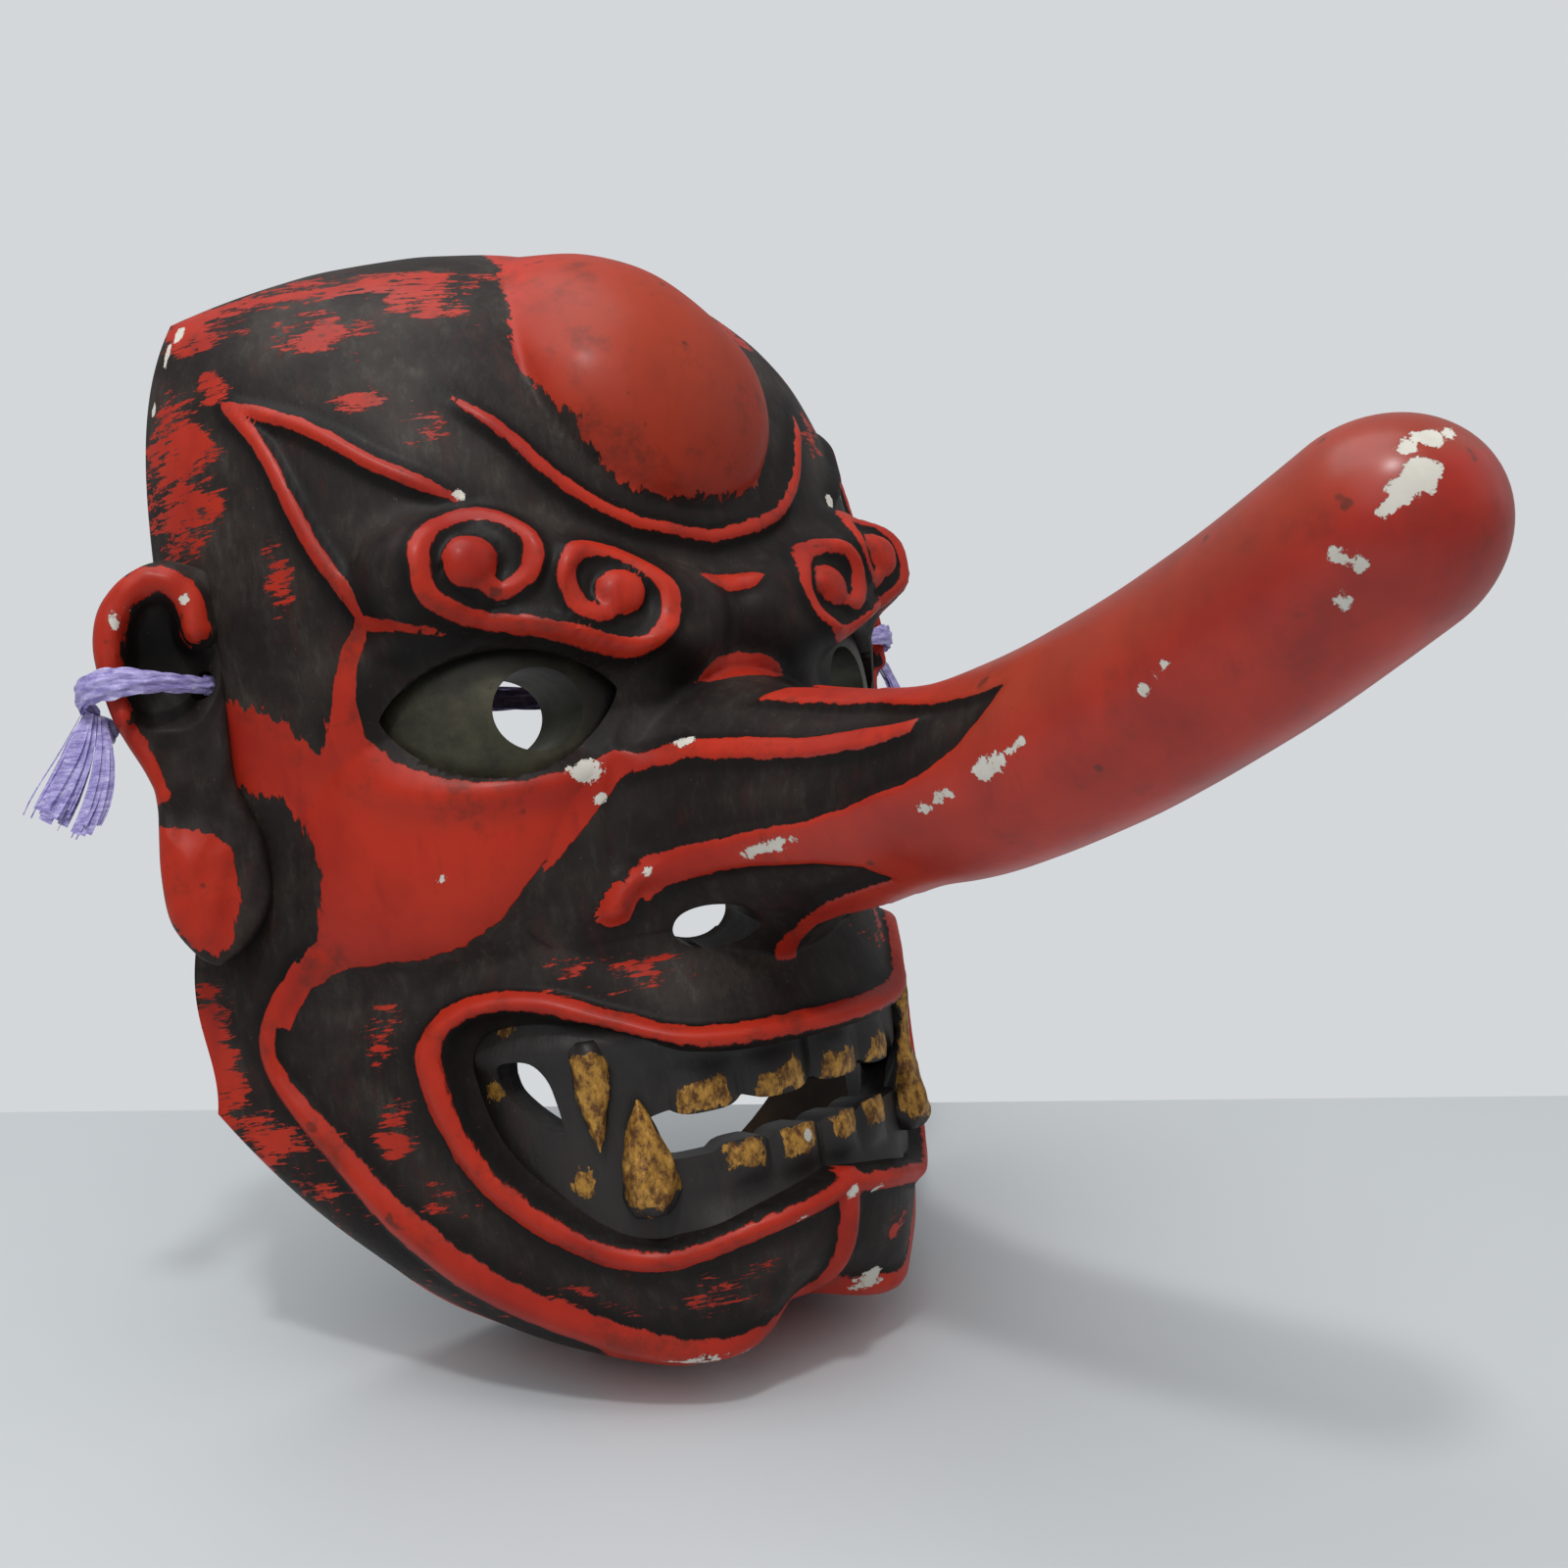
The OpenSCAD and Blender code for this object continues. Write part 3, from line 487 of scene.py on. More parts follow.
# Paint of the shell: the face's own values in front and on the flare, and bare wood inside.
root_down = clamp((mid_z - root_z) / (bottom_h + mid_z))
root_half_w = half_w + cheek_out * np.sin(np.pi * root_down) ** 2
root_paint = face_paint(round_step * np.degrees(np.arcsin(root_x / root_half_w)), root_z)
flare_red = flare_red - 14 * (1 - ease(stands_out, -10, -4))
root_paint["red"] = np.maximum(root_paint["red"] - 8 * ease(stands_out, 3, 10), flare_red)
# Painted shade in the grooves of the flare, beside its red ridges.
root_paint["hollow"] = np.maximum(root_paint["hollow"], shade_beside_red(flare_red) * ease(stands_out, -6, 0))
root_paint["gloss"] += (nose_gloss - face_gloss) * ease(flare - root_d, -40, -4)
root_flakes = []
for ahead, angle, size in ((-41.5, 54, 1.0), (-23.5, 107, 1.4), (-51, 104, 0.8)):
    climb = math.sqrt((root_d + ahead - flare_foot) / (root_d - flare_foot))
    chip_r, chip_turn = flare_r - (flare_r - nose_r) * climb, math.radians(angle)
    root_flakes.append((-chip_r * math.sin(chip_turn), chip_r * math.cos(chip_turn) - nose_drop, size, 1))
root_paint["chip"] = np.minimum(root_paint["chip"], flakes(root_x, root_z, root_flakes))
blank = {"red": NO_RED, "ragged": 0.5, "stroke": 0.0, "hollow": 0.0, "chip": NO_CHIP, "worn": 0.0,
         "gloss": 0.0, "inside": 0.0}
behind = {**blank, "inside": 1.0}
paint = {name: np.concatenate([values.ravel(), np.full(inner.size // 3, behind[name]),
                               root_paint[name].ravel(), np.full(r.size + 2, blank[name])])
         for name, values in face_paint(face_u, face_z).items()}
face_points = np.concatenate([face_points, shell_points])


# Cuts through the shell: mouth, eyes with the seats of the eye discs, nostrils, strap holes, tooth rebate.
eye_x, eye_z, eye_r, dome_h, eye_t, pupil_r, eye_turn = 47.0, 1.0, 25.0, 7.0, 9.0, 8.5, math.radians(32)
eye_front = mid_depth(eye_z) * (1 - (eye_x / half_w) ** 2) ** side_power(eye_z)
eye_depth = eye_front * math.sqrt(1 - ((eye_z - mid_z) / (top_h - mid_z)) ** 3.5) - 5.5
eye_axis = (-math.sin(eye_turn), -math.cos(eye_turn), 0)
eye_side = (math.cos(eye_turn), -math.sin(eye_turn), 0)
slot_z, arch_r, bar_t, bar_end = -88.5, 60.0, 8.0, 72
arch_back = muzzle_d - arch_r - 10
mouth_share, mouth_reach = 0.84, 0.93 * half_w
bed_turn, bed_depth, bed_x = math.radians(13.5), 12.0, half_w - 2.8
tenon_r, fit_gap = 10.0, 0.1


def placed(origin, across, up, ahead, side=-1):
    """Function that puts points of a piece's own frame into the face, mirrored for the left side (1)."""
    axes = np.array([across, up, ahead], float)
    return lambda p: (np.array(origin) + p @ axes) * np.array([-side, 1, 1])


def at_eye(side):
    return placed((-eye_x, -eye_depth, eye_z), eye_side, UP, eye_axis, side)


def forwards(x, z):
    return placed((x, 0, z), (1, 0, 0), UP, (0, -1, 0))


def circle(r, n=48):
    t = turns_of(n)
    return np.column_stack([r * np.cos(t), r * np.sin(t)])


def levels_of(ring, heights):
    """Copies of an outline at several heights, each with its own scale."""
    return np.stack([np.column_stack([ring * scale, np.full(len(ring), h)]) for scale, h in heights])


def prism(name, ring, low, high, place):
    """Straight solid over an outline, its two ends at low and high, put in place by a function."""
    ring = np.asarray(ring, float)
    middle = ring.mean(0)
    points, faces = capped(levels_of(ring, ((1, low), (1, high))), [*middle, low], [*middle, high])
    return make_piece(name, place(points), faces)


def strap_hole(side):
    """Bore straight through an ear and the flat bed that it sits on."""
    along = np.array([-math.sin(bed_turn), math.cos(bed_turn), 0])
    out = (-math.cos(bed_turn), -math.sin(bed_turn), 0)
    start = np.array([-bed_x, -bed_depth, 17]) + along * (bed_depth - 14)
    return prism("strap_hole", circle(3.0, 32), -20, 20, placed(start, UP, along, out, side))


def eye_disc(name, side, clearance, back):
    """Domed disc in the eye's frame, or the seat for it."""
    dome_r, rim_r, around = (eye_r**2 + dome_h**2) / (2 * dome_h), eye_r + clearance, 96
    reach = rim_r * np.sin(np.linspace(0, np.pi / 2, 26)[1:])
    top = np.sqrt((dome_r + clearance) ** 2 - reach**2) + dome_h - dome_r
    profile = [*zip(reach, top), (rim_r, -back), (rim_r * 0.5, -back)]
    points, faces = capped(levels_of(circle(1, around), profile), [0, 0, dome_h + clearance], [0, 0, -back])
    return make_piece(name, at_eye(side)(points), faces)


def outward_at(angle):
    """Level direction from the mouth's upright axis, by angle in degrees from the middle line."""
    t = np.radians(angle)
    return np.stack([np.sin(t), -np.cos(t), 0 * t], -1)


def on_arc(angle, r, z):
    """Points about the mouth's upright axis."""
    return outward_at(angle) * (r + 0 * z)[..., None] + np.stack([0 * z, 0 * z - arch_back, z], -1)


mouth = [(mouth_reach * math.sin(math.radians(u / round_step)), slot_z + (z - slot_z) * mouth_share)
         for u, z in lip]
mouth_ring = mouth + [(-x, z) for x, z in reversed(mouth[1:-1])]
lid_turn = np.linspace(0, np.pi, 25)
lid_top, lid_low = (np.column_stack([(eye_r - 1) * np.cos(lid_turn), 2 + h * np.sin(lid_turn) ** 1.5])
                    for h in (11, -15))
lids = np.concatenate([lid_top, lid_low[-2:0:-1]])
seat_depth = mid_depth(-nose_drop) - wall + 1.5
cutter = prism("cuts", mouth_ring, 30, 200, forwards(0, 0))
angle, z = grid(np.linspace(-bar_end, bar_end, 49), np.array([-110.6, -60.9]))
rebate = closed_relief(on_arc(angle, arch_r + fit_gap, z), on_arc(angle, arch_r - bar_t - fit_gap, z))
combine(cutter, make_piece("rebate", *rebate), "UNION")
for side in (-1, 1):
    nostril_way = placed((-21.5, -muzzle_d + 4, -49), (0.94, -0.34, 0), UP, (-0.34, -0.94, -0.2), side)
    for solid in (prism("almond", lids, -2, 40, at_eye(side)), eye_disc("seat", side, fit_gap, 40),
                  prism("nostril", circle(1) * (8.2, 5.2), -24, 16, nostril_way), strap_hole(side)):
        combine(cutter, solid, "UNION")
for name, r, reach in (("pin_seat", 24, seat_depth), ("tenon_hole", tenon_r + fit_gap, root_d - 4)):
    combine(cutter, prism(name, circle(r, 64), 0, reach, forwards(0, -nose_drop)), "UNION")
combine(face, cutter, "DIFFERENCE")
set_paint(face, face_points, paint)


class Value:
    """Output of a shader node; sums and products of values are made by further nodes."""

    def __init__(self, tree, socket):
        self.tree, self.socket = tree, socket

    def __add__(self, other):
        return calc("ADD", self, other)

    def __sub__(self, other):
        return calc("SUBTRACT", self, other)

    def __mul__(self, other):
        return calc("MULTIPLY", self, other)


def feed(socket, value):
    """Sets an input to a number or colour, or links it to a value."""
    if isinstance(value, Value):
        value.tree.links.new(value.socket, socket)
    else:
        socket.default_value = value


def add(tree, kind, inputs=None, output=0, **settings):
    """Adds a shader node and gives one of its outputs."""
    made = tree.nodes.new(kind)
    for key, value in settings.items():
        setattr(made, key, value)
    for key, value in (inputs or {}).items():
        feed(made.inputs[key], value)
    return Value(tree, made.outputs[output])


def calc(operation, a, b):
    return add(a.tree, "ShaderNodeMath", {0: a, 1: b}, operation=operation)


def mix(share, a, b):
    """Colour between two colours, each a value or three numbers."""
    tree = next(value.tree for value in (share, a, b) if isinstance(value, Value))
    a, b = ((*colour, 1) if isinstance(colour, tuple) else colour for colour in (a, b))
    return add(tree, "ShaderNodeMix", {0: share, 6: a, 7: b}, 2, data_type="RGBA")


def blend_values(share, a, b):
    return add(share.tree, "ShaderNodeMix", {0: share, 2: a, 3: b}, data_type="FLOAT")


def speckle(tree, scale, detail=3.0, rough=0.55, stretch=(1, 1, 1), shift=0.0):
    """Noise over the object's own coordinates, from about 0 to 1; scale is in waves for each metre."""
    place = add(tree, "ShaderNodeTexCoord", output="Object")
    place = add(tree, "ShaderNodeMapping", {"Vector": place, "Location": (shift,) * 3, "Scale": stretch})
    inputs = {"Vector": place, "Scale": scale, "Detail": detail, "Roughness": rough}
    return add(tree, "ShaderNodeTexNoise", inputs, "Fac")


def step_up(value, low, high):
    inputs = {"Value": value, "From Min": low, "From Max": high}
    return add(value.tree, "ShaderNodeMapRange", inputs, interpolation_type="SMOOTHSTEP")


def painted(tree, name):
    return add(tree, "ShaderNodeAttribute", output="Fac", attribute_name=name)


def new_group(name, **inputs):
    """Starts a node group, and gives its tree and its inputs."""
    tree = bpy.data.node_groups.new(name, "ShaderNodeTree")
    for label, value in inputs.items():
        socket = tree.interface.new_socket(label, in_out="INPUT", socket_type="NodeSocketFloat")
        socket.default_value = value
    into = tree.nodes.new("NodeGroupInput").outputs
    return tree, *(Value(tree, into[label]) for label in inputs)


def give(tree, **outputs):
    """Ends a node group with the colours and other values that it gives."""
    for label in outputs:
        kind = "NodeSocketColor" if label == "Color" else "NodeSocketFloat"
        tree.interface.new_socket(label, in_out="OUTPUT", socket_type=kind)
    out_of = tree.nodes.new("NodeGroupOutput").inputs
    for label, value in outputs.items():
        feed(out_of[label], value)


def place_group(tree, group, **inputs):
    made = add(tree, "ShaderNodeGroup", inputs, node_tree=group).socket.node
    return {socket.name: Value(tree, socket) for socket in made.outputs}


def new_material(name):
    made = bpy.data.materials.new(name)
    made.use_nodes = True
    return made, made.node_tree


def set_surface(tree, colour, rough, bump=None, strength=0.0, depth=0.0, **others):
    """Sets the material's shader; a bump has a strength and a depth in metres."""
    inputs = tree.nodes["Principled BSDF"].inputs
    for label, value in {"Base_Color": colour, "Roughness": rough, **others}.items():
        feed(inputs[label.replace("_", " ")], value)
    if bump:
        relief = {"Height": bump, "Strength": strength, "Distance": depth}
        feed(inputs["Normal"], add(tree, "ShaderNodeBump", relief))


# Edge of a painted field: a distance in millimetres, broken up by the hairs of the brush.
brush_edge, distance, ragged = new_group("brush edge", Distance=0.0, Ragged=0.5)
hairs = speckle(brush_edge, 420, 4, 0.65, (1, 1, 0.28), 0.3) - 0.5
lumps = speckle(brush_edge, 190, 2, 0.5) - 0.5
give(brush_edge, Mask=step_up((hairs * 3.2 + lumps * 1.6) * ragged + distance, -0.16, 0.16))

# Dry strokes: a nearly empty brush leaves broken streaks.
dry_brush, amount = new_group("dry brush", Amount=0.0)
streaks = speckle(dry_brush, 620, 5, 0.75, (0.24, 0.24, 1.7), 1.7)
patches = speckle(dry_brush, 150, 4, 0.65, (0.6, 0.6, 1.3), 4.1)
over = streaks * 0.5 + patches * 0.5 - (amount * -0.27 + 0.73)
give(dry_brush, Mask=step_up(over, -0.008, 0.02))

# Vermilion lacquer: glossy, with darker clouds, brush tracks, an orange-brown tint where the mesh asks for it,
# and spots and specks of grime.
vermilion, grime, orange_tint_share = new_group("vermilion lacquer", Grime=0.5, Worn=0.0)
clouds = step_up(speckle(vermilion, 28, 4, 0.6), 0.35, 0.72)
tracks = speckle(vermilion, 260, 3, 0.6, (1, 1, 0.16), 2.2)
colour = mix(clouds, (0.49, 0.029, 0.011), (0.33, 0.017, 0.009))
colour = mix(step_up(tracks, 0.5, 0.8) * 0.4, colour, (0.24, 0.011, 0.009))
# Orange-brown tint: on the nose it is painted light on the upper side; on the boss it only turns the red
# towards orange-brown.
colour = mix(orange_tint_share, colour, (0.25, 0.044, 0.017))
spots = step_up(speckle(vermilion, 75, 6, 0.75, shift=7.0), 0.5, 0.7) * grime
specks = step_up(speckle(vermilion, 190, 2, 0.5, shift=21.0), 0.69, 0.76) * 0.7
colour = mix(calc("MAXIMUM", spots, specks), colour, (0.075, 0.020, 0.011))
dents = speckle(vermilion, 120, 2, 0.5, shift=15.0) * 0.45 + speckle(vermilion, 45, 2)
give(vermilion, Color=colour, Roughness=speckle(vermilion, 60, 3) * 0.2 + 0.4, Height=tracks * 0.2 + dents)

# Black lacquer that hands have rubbed grey, with brown-red ground showing through in places. Its shade input
# is painted shade: it darkens the black nearly to black and leaves less of it rubbed.
worn_black, shade_amount = new_group("worn black", Hollow=0.0)
rubbed = step_up(speckle(worn_black, 42, 6, 0.62, shift=5.0), 0.36, 0.72) * (shade_amount * -0.85 + 1.0)
brushed = step_up(speckle(worn_black, 330, 6, 0.75, (1, 1, 0.3), 13.0), 0.46, 0.72) * (rubbed * 0.55 + 0.1)
under = step_up(speckle(worn_black, 120, 6, 0.72, (1, 1, 0.5), 9.0), 0.53, 0.72)
dust = step_up(speckle(worn_black, 900, 2, 0.6, shift=3.0), 0.68, 0.78)
colour = mix(rubbed, (0.015, 0.0105, 0.0095), (0.044, 0.034, 0.029))
for share, tone in ((brushed, (0.095, 0.083, 0.066)), (under * 0.5, (0.060, 0.016, 0.012)),
                    (shade_amount * 0.8, (0.004, 0.0035, 0.003)), (dust * 0.25, (0.12, 0.105, 0.09))):
    colour = mix(share, colour, tone)
grain = speckle(worn_black, 300, 4, 0.65, (1, 1, 0.3), 6.0)
give(worn_black, Color=colour, Roughness=speckle(worn_black, 90, 4) * 0.3 + 0.38,
     Height=speckle(worn_black, 60, 3) * 0.6 + grain * 0.55)

# White ground of shell powder and glue, bare where the lacquer has flaked off.
bare_ground, distance = new_group("bare ground", Distance=NO_CHIP)
flaky = speckle(bare_ground, 330, 5, 0.7, shift=11.0) - 0.5
give(bare_ground, Mask=step_up((flaky * 5.5 + distance) * -1.0, -0.1, 0.2),
     Color=mix(speckle(bare_ground, 160, 4), (0.50, 0.46, 0.38), (0.80, 0.78, 0.72)))

# Wood of the hollow back: stained by the brush and by use, with the marks of the gouge.
carved_wood, stain = new_group("carved wood", Stain=0.6)
fibres = speckle(carved_wood, 220, 5, 0.6, (1, 1, 0.06), 2.0)
blots = step_up(speckle(carved_wood, 30, 4, 0.6), 0.35, 0.65)
cuts = speckle(carved_wood, 110, 1, 0.4, (1, 1, 0.5), 8.0)
colour = mix(fibres, (0.14, 0.078, 0.040), (0.065, 0.034, 0.018))
give(carved_wood, Color=mix(blots * stain, colour, (0.020, 0.012, 0.008)), Roughness=fibres * 0.2 + 0.55,
     Height=cuts * 0.9 + fibres * 0.25)


def lacquer_material(name, grime, has_back=False):
    """Red over black over white ground, as the paint values of the mesh say."""
    made, tree = new_material(name)
    red = place_group(tree, vermilion, Grime=grime, Worn=painted(tree, "worn"))
    black = place_group(tree, worn_black, Hollow=painted(tree, "hollow"))
    edge = place_group(tree, brush_edge, Distance=painted(tree, "red"), Ragged=painted(tree, "ragged"))["Mask"]
    streak = place_group(tree, dry_brush, Amount=painted(tree, "stroke"))["Mask"]
    ground = place_group(tree, bare_ground, Distance=painted(tree, "chip"))
    is_red, flake = calc("MAXIMUM", edge, streak), ground["Mask"]
    colour = mix(flake, mix(is_red, black["Color"], red["Color"]), ground["Color"])
    rough = blend_values(flake, blend_values(is_red, black["Roughness"], red["Roughness"]), 0.85)
    bump = blend_values(is_red, black["Height"], red["Height"]) + edge * 0.25 - flake * 0.6
    coat = is_red * (flake * -1.0 + 1.0) * painted(tree, "gloss") + 0.02
    if has_back:
        wood = place_group(tree, carved_wood, Stain=0.85)
        inside = step_up(painted(tree, "inside"), 0.7, 0.95)
        # The wood inside is darkened 45 % of the way towards black.
        colour = mix(inside, colour, mix(0.45, wood["Color"], (0.012, 0.008, 0.006)))
        rough = blend_values(inside, rough, wood["Roughness"])
        bump = blend_values(inside, bump, wood["Height"])
        coat = coat * (inside * -1.0 + 1.0)
    set_surface(tree, colour, rough, bump, 0.55, 0.0006, Coat_Weight=coat, Coat_Roughness=0.28,
                Specular_IOR_Level=0.14)
    return made


dress(face, "face_shell", lacquer_material("face_lacquer", 0.55, True), 70)


# Nose: turned and bent from its own piece of wood, with a tenon that goes through the face.
# It is lacquered red with the face after it is pinned, so no joint shows.
nose_l, tip_r, nose_rise, tail_l, nose_around = 117.0, 17.0, 33.5, 9.0, 200
straight_l = nose_l - tip_r
level_l = straight_l / 15
tip_steps = straight_l + tip_r * np.sin(np.radians(np.linspace(3.7, 89.4, 24)))
nose_steps = np.concatenate([np.linspace(-6, straight_l, 92), tip_steps])
# Flaked spots by distance in front of the shoulder, angle down from the top and radius.
nose_chips = [
    (113, 92, 2.6), (110.5, 96, 2.2), (108, 99, 1.3), (115, 60, 2.2), (116, 45, 1.6), (113, 68, 1.5),
    (100, 102, 1.2), (101, 106, 0.8), (102, 114, 1.2), (97, 121, 1.3), (66, 100, 0.8), (69, 97, 0.7),
    (71, 95, 0.5), (35, 95, 1.9), (32, 97, 2.0), (39, 93, 0.7), (41, 91, 0.5), (20, 102, 1.4), (16, 103, 1.1),
    (23, 101, 0.7)]


def nose_axis(ahead):
    climb = above(ahead - level_l) / (nose_l - level_l)
    return np.stack([0 * ahead, -root_d - ahead, -nose_drop + nose_rise * climb**1.65], -1)


def nose_radius(ahead):
    straight = nose_r + (tip_r - nose_r) * ahead / straight_l
    tip = np.sqrt(above(tip_r**2 - (ahead - straight_l) ** 2))
    flare_out = 0.17 * 3 * np.log1p(np.exp(-ahead / 3)) * (ahead < 30)
    return np.where(ahead <= straight_l, straight, tip) + flare_out


def nose_surface(ahead, turn, lift=0.0):
    way = unit(nose_axis(ahead + 0.2) - nose_axis(ahead - 0.2))
    upright = np.stack([0 * ahead, way[..., 2], -way[..., 1]], -1)
    across = np.array([-1.0, 0, 0])
    r = (nose_radius(ahead) + lift)[..., None]
    return nose_axis(ahead) + r * (np.sin(turn)[..., None] * across + np.cos(turn)[..., None] * upright)


ahead, turn = grid(nose_steps, turns_of(nose_around))
nose_red_at = nose_paint(ahead, np.degrees(np.minimum(turn, 2 * np.pi - turn)))
sunk = groove_share(nose_red_at) * np.interp(ahead, [0, 40], [groove_d, 0.7])
nose_skin = nose_surface(ahead, turn, -sunk)
nose_skin += 0.25 * waves(nose_skin, 17, 5)[..., None] * (nose_skin - nose_axis(ahead)) / nose_r
tenon_ends = np.array([seat_depth - tail_l - root_d, -10.0])
tenon_ring = tenon_r * np.stack([-np.sin(turn[0]), 0 * turn[0], np.cos(turn[0])], -1)
tenon = nose_axis(tenon_ends)[:, None] + tenon_ring
nose_points, nose_faces = capped(np.concatenate([tenon, nose_skin]), nose_axis(tenon_ends)[0],
                                 nose_axis(np.array(nose_l)))
nose = make_piece("nose_lacquered", nose_points, nose_faces)
full = np.ones(len(nose_points))
chip = NO_CHIP * full
for at, angle, r in nose_chips:
    centre = nose_surface(np.array([at]), np.radians([angle]))
    chip = np.minimum(chip, np.linalg.norm(nose_points - centre, axis=1) - r)
# Painted light: the upper side of the nose gets an orange-brown tint, as where light from above falls on it.
worn = 0.5 * ease(np.cos(turn), -0.2, 0.5) * ease(ahead, 4, 40)
red, worn = (np.concatenate([np.full(2 * nose_around, on_tenon), values.ravel(), [on_tenon, at_tip]])
             for values, on_tenon, at_tip in ((nose_red_at, NO_RED, 60.0), (worn, 0, 0.3)))
# The grooves beside the red get painted shade.
set_paint(nose, nose_points, {
    "red": red, "ragged": 0.4 * full, "stroke": 0 * full, "chip": chip, "gloss": nose_gloss * full,
    "worn": worn, "hollow": shade_beside_red(red)})
dress(nose, "nose", lacquer_material("nose_lacquer", 0.3), 48)


# Pin of the nose and pegs of the ears: whittled wood, driven in last and never painted.
# They are plain round sticks, so the frame's own pieces are shown and only get their wood here.
peg_wood, tree = new_material("bare_wood")
wood = place_group(tree, carved_wood, Stain=0.15)
set_surface(tree, wood["Color"], wood["Roughness"], wood["Height"], 0.5, 0.0004)
for name in ("nose_pin", "ear_pegs"):
    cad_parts[name].data.materials.clear()
    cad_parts[name].data.materials.append(peg_wood)


# Eyes: domed discs let in from behind, each with a bored pupil to look through.
# They are toned like old bronze, with painted shade under the upper lid and towards the nose.
bronze, tree = new_material("eye_bronze")
tone = mix(step_up(speckle(tree, 70, 5, 0.65), 0.3, 0.7), (0.022, 0.020, 0.012), (0.075, 0.070, 0.038))
tone = mix(step_up(speckle(tree, 420, 4, 0.7), 0.62, 0.75), tone, (0.014, 0.012, 0.009))
# Painted shade: the bronze goes nearly black where the disc's shade value is high.
tone = mix(painted(tree, "hollow"), tone, (0.005, 0.0045, 0.004))
set_surface(tree, tone, speckle(tree, 120, 4) * 0.25 + 0.34, speckle(tree, 260, 4, 0.6), 0.3, 0.0005,
            Metallic=0.35)
pupil_in = 3.4
for side, name in SIDES:
    eye = eye_disc("eye_dome_" + name, side, 0.0, eye_t)
    pupil_way = forwards(side * (eye_x - pupil_in), eye_z)
    combine(eye, prism("pupil", circle(pupil_r, 64), 20, 120, pupil_way), "DIFFERENCE")
    # Painted shade on each disc, towards its top under the lid and towards the nose.
    at = np.array([v.co for v in eye.data.vertices]) / MM * (-side, 1, 1) + (eye_x, eye_depth, -eye_z)
    add_values(eye, "hollow", np.maximum(ease(at[:, 2], 4, 13), ease(at @ eye_side, 8, 22)))
    dress(eye, "eye_" + name, bronze, 40)


# Tooth bars: two bent strips let into the back of the mouth, carved into gums and teeth.
# They are lacquered black, and each front tooth has a worn patch of gold leaf.
gold_leaf, distance = new_group("gold leaf", Distance=0.0)
torn = speckle(gold_leaf, 260, 6, 0.7, (1, 1, 0.6), 2.5) - 0.5
mottle = speckle(gold_leaf, 520, 5, 0.7, (1, 1, 0.7), 6.5)
colour = mix(step_up(mottle, 0.36, 0.62), (0.11, 0.042, 0.012), (0.52, 0.265, 0.045))
colour = mix(step_up(mottle, 0.60, 0.74), colour, (0.66, 0.42, 0.12))
give(gold_leaf, Mask=step_up(torn * 8.0 + distance, -0.15, 0.25), Color=colour, Roughness=mottle * -0.3 + 0.6)


def gilt_material(name):
    """Black lacquer with gold leaf where the paint value gold is above zero."""
    made, tree = new_material(name)
    # The black of the bars and fangs carries an even painted shade.
    black = place_group(tree, worn_black, Hollow=0.6)
    gold = place_group(tree, gold_leaf, Distance=painted(tree, "gold"))
    ground = place_group(tree, bare_ground, Distance=painted(tree, "chip"))
    leaf = gold["Mask"]
    colour = mix(ground["Mask"], mix(leaf, black["Color"], gold["Color"]), ground["Color"])
    rough = blend_values(leaf, black["Roughness"], gold["Roughness"])
    set_surface(tree, colour, rough, leaf * 0.3 + black["Height"], 0.6, 0.0006, Metallic=leaf * 0.45)
    return made


slot_h, tooth_h, tooth_out, notch_h, gum_out, corner_at = 7.0, 9.6, 2.3, 1.6, 3.4, 58
arc_mm = math.radians(arch_r)  # distance round the arc for one degree
corner_leaf = curve([
    (-6.2, 4.5), (-5.6, 7.3), (-2.5, 8), (2, 7.2), (4.4, 4), (5.8, -2), (6.2, -7), (5.2, -8), (2, -6),
    (-2, -2.6), (-5.2, 1), (-6.2, 4.5)], 4)[:-1]
tooth_black = gilt_material("tooth_black")


